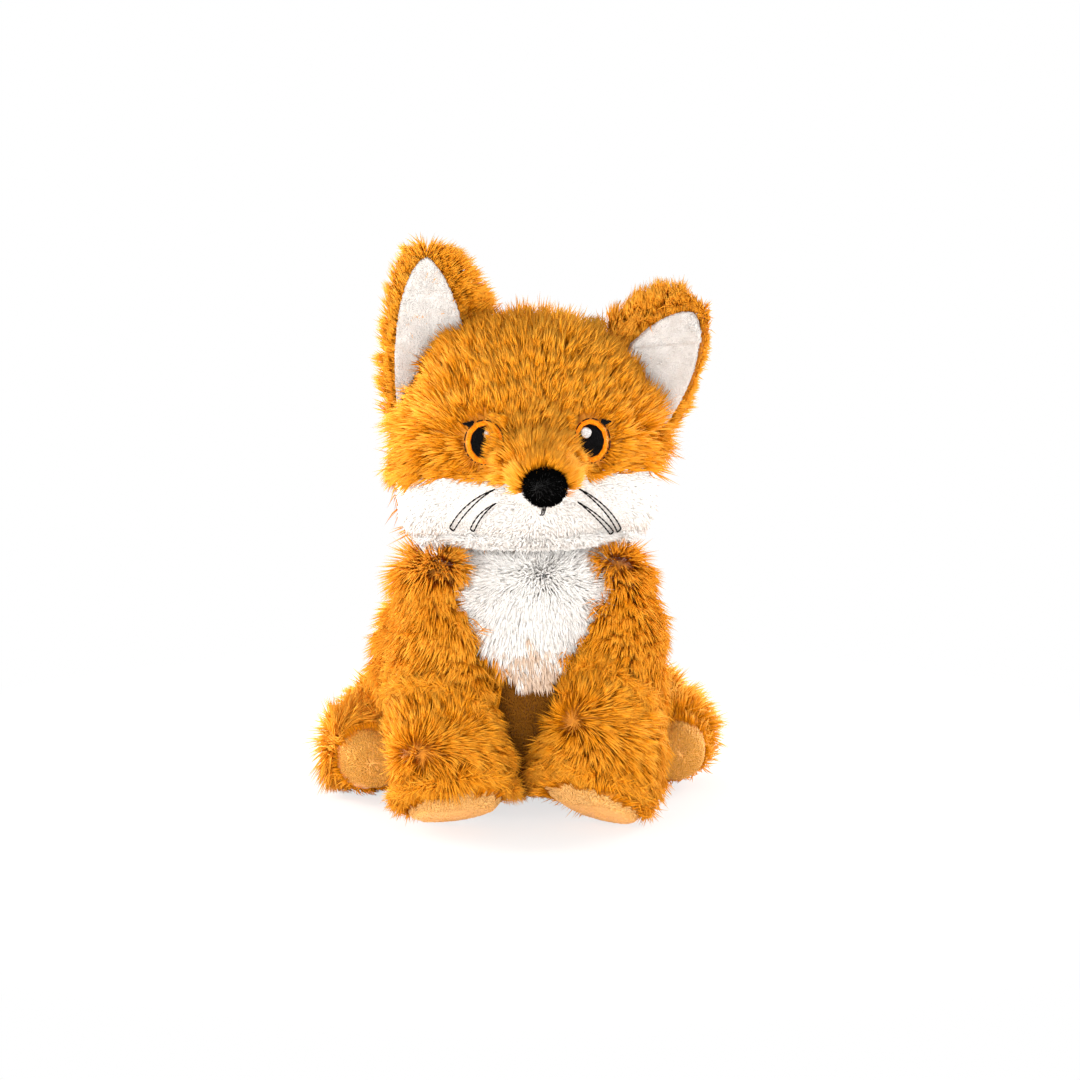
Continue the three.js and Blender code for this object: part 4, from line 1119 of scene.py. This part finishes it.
# Belly pile in dark brown, painted shade between the legs
growFur("belly_pile", furOf("torso", [2]), "torso", "brown_velboa", bellyShadePile, 6, **velboa)
growFur("neck_fur_front", furOf("neck", [0], lambda c: c[:, 1] < -1 * mm),
        "neck", "white_plush", whitePile, 7, **dict(bibPlush, Length=8))
growFur("neck_fur_back", furOf("neck", [0], lambda c: c[:, 1] >= -1 * mm),
        "neck", "gold_plush", goldPile, 15, **plush)
growFur("muzzle_fur", furOf("head", [1]), "head", "gold_plush", goldPile, 10,
        **{**plush, "Density": 7.5, "Width": 0.4, "Tuft Size": 3.2, "Tuft Pull": 0.3, "Disorder": 0.16})
growFur("cheek_fur", furOf("head", [2, 3]), "head", "white_plush", cheekPile, 11, **shortPlush)
growFur("tail_fur", furOf("tail", [0]), "tail", "gold_plush", goldPile, 12, **plush)
growFur("tail_tip_fur", furOf("tail", [1]), "tail", "white_plush", whitePile, 13,
        **dict(bibPlush, Length=8.5, Density=8.0))
for index, name in enumerate(sideSigns):
    for step, leg in enumerate(("front", "hind")):
        body = f"{leg}_leg_{name}"
        seed = 20 + 4 * index + 2 * step
        growFur(f"{body}_fur", furOf(body, [0]), body, "gold_plush", goldPile, seed, **plush)
        # The hind soles take the darker velboa with painted shade
        growFur(f"{leg}_pad_pile_{name}", furOf(body, [1]), body, "tan_velboa",
                tanPile if leg == "front" else hindSoleShadePile, seed + 1, **velboa)

# Ears: a plush back with a fringe, and a velboa lining that is laid in it
crease = {"across": (37, 60), "up": (166.3, 169.7), "stand": 3.2}

for index, name in enumerate(sideSigns):
    body = f"ear_{name}"
    mesh = smoothShaded(voxelled([closedCopy([f"ear_back_{name}"])], 1.2))
    relaxed(mesh, 3)
    setCoordinates(mesh, coordinates(mesh) - normals(mesh) * 1.1 * mm)
    co, no = coordinates(mesh), normals(mesh)
    seat = jointPlace(f"ear_tilt_{name}")
    tip = co[np.argmax(np.linalg.norm(co - seat, axis=1))]
    axis = unit(tip - seat)
    out = co - seat
    out = out - (out @ axis)[:, None] * axis
    way = unit(out) * 0.8 + axis * 0.7 + swirl(co, 18) * 0.35 + swirl(co, 8) * 0.3
    lining = nodeTrees[f"ear_lining_{name}"]
    # The flopped ear's outer edge is brushed flat
    brushed = eased(co[:, 0], 54 * mm, 62 * mm) if name == "left" else np.zeros(len(co))
    gap = np.array([lining.find_nearest(Vector(p))[3] for p in co])
    marks = {
        "comb": laidFlat(way, no),
        "lean": 0.48 + 0.36 * brushed,
        "pile": np.clip(gap / (3 * mm), 0.45, 1) * (1 - 0.65 * brushed),
        "cover": (gap > 0.9 * mm).astype(float),
        # Painted light: the ear fur's tone is lifted
        "patch": np.clip(0.8 + 0.5 * swirl(co + 1.9, 16)[:, 2], 0, 1.2),
    }
    growFur(f"{body}_fur", subMesh(mesh, marks), body, "gold_plush", goldPile, 40 + index,
            **dict(plush, Length=8.6, Density=5.5))
    mesh.materials.append(goldShadeBacking)
    addPadded(f"{body}_cover", mesh, body, [f"ear_back_{name}"])

    cloth = smoothShaded(voxelled([closedCopy([f"ear_lining_{name}"])], 0.8))
    relaxed(cloth, 6)
    co, no = coordinates(cloth), normals(cloth)
    if name == "left":
        # The flopped ear's top folds over along a crease
        over = co[:, 2] / mm - np.interp(co[:, 0] / mm, crease["across"], crease["up"])
        ledge = eased(over, 0, 1.0) * (1 - eased(over, 3, 11)) * eased(-no[:, 1], 0, 0.4)
        co[:, 1] -= ledge * crease["stand"] * mm
        setCoordinates(cloth, co)
        no = normals(cloth)
    marks = {
        "comb": laidFlat(np.tile(axis, (len(co), 1)) + swirl(co, 10) * 0.4, no),
        "lean": np.full(len(co), 0.85),
        "pile": np.ones(len(co)),
        "cover": (no[:, 1] < 0.2).astype(float),
        "patch": np.full(len(co), 0.5),
    }
    growFur(f"ear_lining_pile_{name}", subMesh(cloth, marks), body, "white_velboa", liningShadePile, 44 + index,
            **dict(velboa, Density=5.0, Length=1.3, Width=0.36))
    cloth.materials.append(liningShadeCloth)
    addPadded(f"ear_lining_cloth_{name}", cloth, body, [f"ear_lining_{name}"])
print("strands:", furCount["strands"])

# Nose: a pad of short black pile, with a few stray golden hairs over its top

noseMesh = smoothShaded(voxelled([closedCopy(["nose"])], 0.9))
relaxed(noseMesh, 5)
setCoordinates(noseMesh, coordinates(noseMesh) - normals(noseMesh) * 0.7 * mm)
co, no = coordinates(noseMesh), normals(noseMesh)
marks = {
    "comb": laidFlat(co - noseCentre + swirl(co, 5) * 4 * mm, no),
    "lean": np.full(len(co), 0.35),
    "pile": np.ones(len(co)),
    "cover": (no[:, 1] < 0.7).astype(float),
    "patch": np.clip(0.5 + 0.5 * swirl(co, 4)[:, 2], 0, 1),
}
growFur("nose_pile", subMesh(noseMesh, marks), "head", "black_plush", blackPile, 50,
        **dict(velboa, Density=9.0, Length=1.7, Width=0.34, Disorder=0.3))
noseMesh.materials.append(blackBacking)
addPadded("nose_cover", noseMesh, "head", ["nose"])

strayHairs = {"low": (-3.5, -62.5, 130), "high": (5, -54, 140)}
low, high = (np.array(strayHairs[k]) * mm for k in ("low", "high"))
co, no = head["co"], head["no"]
marks = {
    "comb": laidFlat(np.array((0.2, -1.0, -0.45)) + swirl(co, 6) * 0.3, no),
    "lean": np.full(len(co), 0.8),
    "pile": np.ones(len(co)),
    "cover": np.ones(len(co)),
    "patch": head["patch"],
}
centres = faceCentres(head["mesh"])
above = ((centres > low) & (centres < high)).all(axis=1)
growFur("nose_stray_hairs", subMesh(head["mesh"], marks, above), "head", "gold_plush", goldPile, 52,
        **{**plush, "Density": 0.3, "Length": 9.5, "Width": 0.26, "Curl": 0.6, "Tuft Pull": 0.1,
           "Disorder": 0.12})

# Embroidery: every stitch is one thread that lies on the face

stitchInputs = {
    "Thread Width": ("NodeSocketFloat", 0.45),
    "Thread Height": ("NodeSocketFloat", 0.4),
    "Thread": ("NodeSocketMaterial", None),
}


def stitchTree():
    tree, given = newTree("embroideryStitches", stitchInputs)
    thread = addNode(tree, "GeometryNodeMeshUVSphere", {"Segments": 6, "Rings": 5, "Radius": 0.5})
    points = addNode(tree, "GeometryNodeMeshToPoints", {"Mesh": given["Geometry"]})

    def named(name, kind):
        return addNode(tree, "GeometryNodeInputNamedAttribute", {"Name": name}, data_type=kind).outputs[0]

    def inMetres(value):
        return addNode(tree, "ShaderNodeMath", {0: value, 1: mm}, operation="MULTIPLY").outputs[0]

    turn = addNode(tree, "FunctionNodeAxesToRotation", {
        "Primary Axis": named("way", "FLOAT_VECTOR"), "Secondary Axis": named("out", "FLOAT_VECTOR"),
    }, primary_axis="Z", secondary_axis="X")
    size = addNode(tree, "ShaderNodeCombineXYZ", {
        "X": inMetres(given["Thread Height"]),
        "Y": inMetres(given["Thread Width"]),
        "Z": named("reach", "FLOAT"),
    })
    sewn = addNode(tree, "GeometryNodeInstanceOnPoints", {
        "Points": points.outputs[0], "Instance": thread.outputs["Mesh"],
        "Rotation": turn.outputs[0], "Scale": size.outputs[0],
    })
    real = addNode(tree, "GeometryNodeRealizeInstances", {"Geometry": sewn.outputs[0]})
    smooth = addNode(tree, "GeometryNodeSetShadeSmooth", {"Geometry": real.outputs[0]})
    dyed = addNode(tree, "GeometryNodeSetMaterial", {
        "Geometry": smooth.outputs[0], "Material": given["Thread"],
    })
    addNode(tree, "NodeGroupOutput", {"Geometry": dyed.outputs[0]})
    return tree


embroidery = stitchTree()


def embroider(name, node, material, stitches, thread=(0.45, 0.4), ground=True):
    # stitches: (start, end, outward) in metres, sewn over the node's own shape as their ground
    starts, ends, outs = (np.array(v) for v in zip(*stitches))
    seed = bpy.data.meshes.new("seams")
    seed.from_pydata([tuple(p) for p in (starts + ends) / 2], [], [])
    for key, values in (("way", ends - starts), ("out", outs)):
        attribute = seed.attributes.new(key, "FLOAT_VECTOR", "POINT")
        attribute.data.foreach_set("vector", values.astype(np.float32).ravel())
    reach = seed.attributes.new("reach", "FLOAT", "POINT")
    reach.data.foreach_set("value", np.linalg.norm(ends - starts, axis=1).astype(np.float32) + 0.25 * mm)
    sizes = {"Thread Width": thread[0], "Thread Height": thread[1]}
    sewn = grown(seed, embroidery, dict(sizes, Thread=material))
    for spare in ("way", "out", "reach"):
        if spare in sewn.attributes:
            sewn.attributes.remove(sewn.attributes[spare])
    if ground:
        whole = closedCopy([node])
        whole.from_mesh(sewn)
        whole.to_mesh(sewn)
        whole.free()
        smoothShaded(sewn)
    sewn.materials.clear()
    sewn.materials.append(material)
    sewn.polygons.foreach_set("material_index", np.zeros(len(sewn.polygons), np.int32))
    piece = linked(name, sewn)
    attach(piece, "head")
    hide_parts(node)
    print("embroidered", name, len(stitches))


def surfaceAt(tree, centre, frame, u, v, lift=0.0):
    # Where a needle that comes straight at the face meets this piece
    across, up, out = frame
    start = centre + across * u + up * v + out * 9 * mm
    hit = tree.ray_cast(Vector(start), Vector(-out), 20 * mm)
    return None if hit[0] is None else np.array(hit[0]) + out * lift


def filled(tree, centre, frame, halfWidth, halfHeight, gap=0.42, longest=3.2, slant=0.0, lift=0.05):
    # Rows of upright satin stitches, broken like brickwork
    stitches = []
    step = 0.3 * mm
    rows = np.arange(-halfWidth, halfWidth + gap, gap) * mm
    for number, u in enumerate(rows):
        run = []
        for v in np.append(np.arange(-halfHeight * mm, halfHeight * mm, step), np.inf):
            spot = None if np.isinf(v) else surfaceAt(tree, centre, frame, u + slant * v, v, lift * mm)
            if spot is not None:
                run.append(spot)
                continue
            if len(run) > 1:
                pieces = max(1, int(math.ceil(len(run) * step / (longest * mm))))
                cuts = np.linspace(0, len(run) - 1, pieces + 1)
                if pieces > 1:
                    cuts[1:-1] += (0.25 if number % 2 else -0.25) * (cuts[1] - cuts[0])
                cuts = cuts.round().astype(int)
                stitches += [(run[a], run[b], frame[2]) for a, b in zip(cuts, cuts[1:]) if b > a]
            run = []
    return stitches


def along(points, stitch, gap, out):
    # Running stitch along a line of points
    steps = np.linalg.norm(np.diff(points, axis=0), axis=1)
    place = np.concatenate([[0], np.cumsum(steps)])
    count = max(1, int(round(place[-1] / (stitch * mm))))
    ends = np.linspace(0, place[-1], count + 1)

    def at(s):
        return np.array([np.interp(s, place, points[:, k]) for k in range(3)])

    return [(at(a + gap * mm / 2), at(b - gap * mm / 2), out) for a, b in zip(ends, ends[1:])]


for name, side in sideSigns.items():
    eye = eyeFrame(name)
    centre = eyeCentres[name]
    halfWidth, halfHeight = eyeSizes["halfWidth"], eyeSizes["halfHeight"]
    ringTree = nodeTrees[f"eye_ring_{name}"]
    ring, rim = [], []
    turns = np.linspace(0, 2 * math.pi, 108, endpoint=False)
    for turn in turns:
        ends = []
        for inset in (0.25, eyeSizes["ring"] - 0.25):
            u = math.cos(turn) * (halfWidth - inset) * mm
            v = math.sin(turn) * (halfHeight - inset) * mm
            ends.append(surfaceAt(ringTree, centre, eye, u, v, 0.08 * mm))
        if ends[0] is not None and ends[1] is not None:
            ring.append((ends[0], ends[1], eye[2]))
            rim.append(ends[0] + (ends[0] - ends[1]) * 0.3 + eye[2] * 0.9 * mm)
        elif len(rim) > 1:
            rim.append(None)
    embroider(f"eye_ring_thread_{name}", f"eye_ring_{name}", orangeThread,
              ring, (0.38, 0.7))
    pupil = filled(nodeTrees[f"eye_pupil_{name}"], centre, eye, halfWidth, halfHeight, slant=0.15)
    embroider(f"eye_pupil_thread_{name}", f"eye_pupil_{name}", blackThread, pupil)
    glint = filled(nodeTrees[f"eye_glint_{name}"], centre, eye, halfWidth, halfHeight, slant=-0.3)
    embroider(f"eye_glint_thread_{name}", f"eye_glint_{name}", whiteThread,
              glint, (0.45, 0.6))
    lash = filled(nodeTrees[f"eye_lash_{name}"], boxMiddle(f"eye_lash_{name}"), eye, 1.9, 1.5,
                  slant=side * 0.5, lift=0.5)
    for a, b in zip(rim, rim[1:]):
        if a is not None and b is not None and np.linalg.norm(a - b) < 1.2 * mm:
            lash.append((a, b, eye[2]))
    embroider(f"eye_lash_thread_{name}", f"eye_lash_{name}", blackThread,
              lash, (0.5, 0.5), ground=False)
    for level in ("upper", "lower"):
        line = whiskerLines[name, level] - np.array((0, 0.9 * mm, 0))
        half = len(line) // 2
        out = np.array((side * 0.35, -0.93, -0.1))
        loop = along(line[:half], 2.4, 0, out) + along(line[half:], 2.4, 0, out)
        loop += [(line[half - 1], line[half], out)]
        embroider(f"whisker_thread_{level}_{name}", f"whisker_{level}_{name}",
                  blackThread, loop, (0.68, 0.6), ground=False)
mouthFrame = (np.array((1.0, 0, 0)), np.array((0, 0, 1.0)), np.array((0, -1.0, 0)))
mouthFront = boxMiddle("mouth_stitch") - np.array((0, 10 * mm, 0))
mouthStitches = filled(nodeTrees["mouth_stitch"], mouthFront, mouthFrame, 0.6, 3, gap=0.4, lift=0.6)
mouthStitches = [s for s in mouthStitches if (s[0][1] + s[1][1]) / 2 < -52 * mm]
embroider("mouth_thread", "mouth_stitch", blackThread, mouthStitches, ground=False)
print("face embroidered")

# Pile of the muzzle that hangs over the inner edge of each eye
overhangs = {
    "right": {"edge": 0.54, "low": 0.25, "length": 4.4},
    "left": {"edge": 0.96, "low": 0.25, "length": 3.6},
}
rows, columns = 20, 14
for index, (name, overhang) in enumerate(overhangs.items()):
    eye, side = eyeFrame(name), sideSigns[name]
    grounds = [nodeTrees[n] for n in (f"eye_ring_{name}", f"eye_pupil_{name}", "head_skin", "muzzle_bridge")]
    points = []
    for v in np.linspace(-0.95, 1.12, rows):
        start = overhang["edge"] - overhang["low"] * max(-v, 0)
        for inward in np.linspace(start, 1.25, columns):
            spots = [surfaceAt(t, eyeCentres[name], eye, -inward * side * eyeSizes["halfWidth"] * mm,
                               v * eyeSizes["halfHeight"] * mm) for t in grounds]
            points.append(max((s for s in spots if s is not None), key=lambda s: float(s @ eye[2])))
    points = np.array(points)
    corners = [i * columns + j for i in range(rows - 1) for j in range(columns - 1)]
    faces = [(c, c + 1, c + columns + 1, c + columns)[::-side] for c in corners]
    emitter = bpy.data.meshes.new("overhang")
    emitter.from_pydata([tuple(p) for p in points], [], faces)
    emitter.update()
    if sum(float(np.array(f.normal) @ eye[2]) for f in emitter.polygons) < 0:
        emitter.flip_normals()
    out = np.tile(eye[2], (len(points), 1))
    marks = {
        "comb": laidFlat(unit(points - noseCentre) + eye[0] * side * 0.8 + swirl(points, 7) * 0.15, out),
        "lean": np.full(len(points), 0.74),
        "pile": 1 + 0.15 * swirl(points, 5)[:, 0],
        "cover": np.ones(len(points)),
        "patch": np.full(len(points), 0.35),
    }
    growFur(f"eye_overhang_{name}", subMesh(emitter, marks), "head", "gold_plush", goldPile, 56 + index,
            **{**plush, "Density": 10, "Width": 0.4, "Length": overhang["length"],
               "Tuft Size": 2.2, "Tuft Pull": 0.25, "Disorder": 0.14})

# Camera, lights and stage

view = {
    "azimuth": -6.5, "elevation": 9.5, "distance": 1300, "lens": 118,
    "targetRight": 5.5, "targetHeight": 96.8,
}
azimuth, elevation = math.radians(view["azimuth"]), math.radians(view["elevation"])
rightWay = Vector((math.cos(azimuth), math.sin(azimuth), 0))
towards = Vector((
    math.sin(azimuth) * math.cos(elevation), -math.cos(azimuth) * math.cos(elevation), math.sin(elevation),
))
target = rightWay * view["targetRight"] * mm + Vector((0, 0, view["targetHeight"] * mm))
cameraData = bpy.data.cameras.new("camera")
cameraData.lens = view["lens"]
cameraData.clip_start = 0.01
camera = bpy.data.objects.new("camera", cameraData)
camera.location = target + towards * view["distance"] * mm
camera.rotation_euler = (-towards).to_track_quat("-Z", "Y").to_euler()
bpy.context.scene.collection.objects.link(camera)
bpy.context.scene.camera = camera
bpy.context.scene.view_settings.view_transform = "Standard"

world = bpy.data.worlds.new("studio")
bpy.context.scene.world = world
world.use_nodes = True
tree = world.node_tree
tree.nodes.clear()
path = addNode(tree, "ShaderNodeLightPath")
soft = addNode(tree, "ShaderNodeBackground", {"Color": (1, 1, 1, 1), "Strength": 0.56})
white = addNode(tree, "ShaderNodeBackground", {"Color": (1, 1, 1, 1), "Strength": 1.0})
seen = addNode(tree, "ShaderNodeMixShader", {
    0: path.outputs["Is Camera Ray"], 1: soft.outputs[0], 2: white.outputs[0],
})
addNode(tree, "ShaderNodeOutputWorld", {"Surface": seen.outputs[0]})

lamps = {
    "keyLamp": {"at": (-480, -1000, 200), "size": 800, "power": 11.8},
    "fillLamp": {"at": (620, -950, 130), "size": 800, "power": 8.0},
    "lowLamp": {"at": (60, -950, 0), "size": 700, "power": 5.5},
    "topLamp": {"at": (0, 100, 900), "size": 700, "power": 0.8},
    "backLampRight": {"at": (-700, 420, 260), "size": 500, "power": 16.0},
    "backLampLeft": {"at": (700, 420, 260), "size": 500, "power": 12.0},
}
lampAim = Vector((0, 0, 90)) * mm
for name, lamp in lamps.items():
    data = bpy.data.lights.new(name, "AREA")
    data.shape = "DISK"
    data.size = lamp["size"] * mm
    data.energy = lamp["power"]
    obj = bpy.data.objects.new(name, data)
    obj.location = Vector(lamp["at"]) * mm
    obj.rotation_euler = (lampAim - obj.location).to_track_quat("-Z", "Y").to_euler()
    bpy.context.scene.collection.objects.link(obj)

stage = {"reach": 1400, "paperFrom": 90, "paperTo": 300, "near": 0.7}
floorMesh = bpy.data.meshes.new("floor")
reach = stage["reach"] * mm
corners = [(-reach, -reach, 0), (reach, -reach, 0), (reach, reach, 0), (-reach, reach, 0)]
floorMesh.from_pydata(corners, [], [(0, 1, 2, 3)])
floor = linked("floor", floorMesh)
# White paper that keeps the shadow near the toy and runs out into plain white farther off
floorPaper, tree, shader = newMaterial("whitePaperSweep")
shader.inputs["Base Color"].default_value = linear("#f9f0e8")
shader.inputs["Roughness"].default_value = 0.9
spot = addNode(tree, "ShaderNodeTexCoord").outputs["Object"]
away = addNode(tree, "ShaderNodeVectorMath", {0: spot}, operation="LENGTH").outputs["Value"]
plain = addNode(tree, "ShaderNodeMapRange", {
    "Value": away, "From Min": stage["paperFrom"] * mm, "From Max": stage["paperTo"] * mm,
    "To Min": stage["near"],
}, interpolation_type="SMOOTHSTEP").outputs[0]
seenAs = addNode(tree, "ShaderNodeLightPath").outputs["Is Camera Ray"]
share = addNode(tree, "ShaderNodeMath", {0: plain, 1: seenAs}, operation="MULTIPLY").outputs[0]
glow = addNode(tree, "ShaderNodeEmission", {"Color": (1, 1, 1, 1), "Strength": 1.0}).outputs[0]
paper = addNode(tree, "ShaderNodeMixShader", {0: share, 1: shader.outputs[0], 2: glow})
surface = [n for n in tree.nodes if n.type == "OUTPUT_MATERIAL"][0].inputs["Surface"]
tree.links.new(paper.outputs[0], surface)
floorMesh.materials.append(floorPaper)
print("stage set")
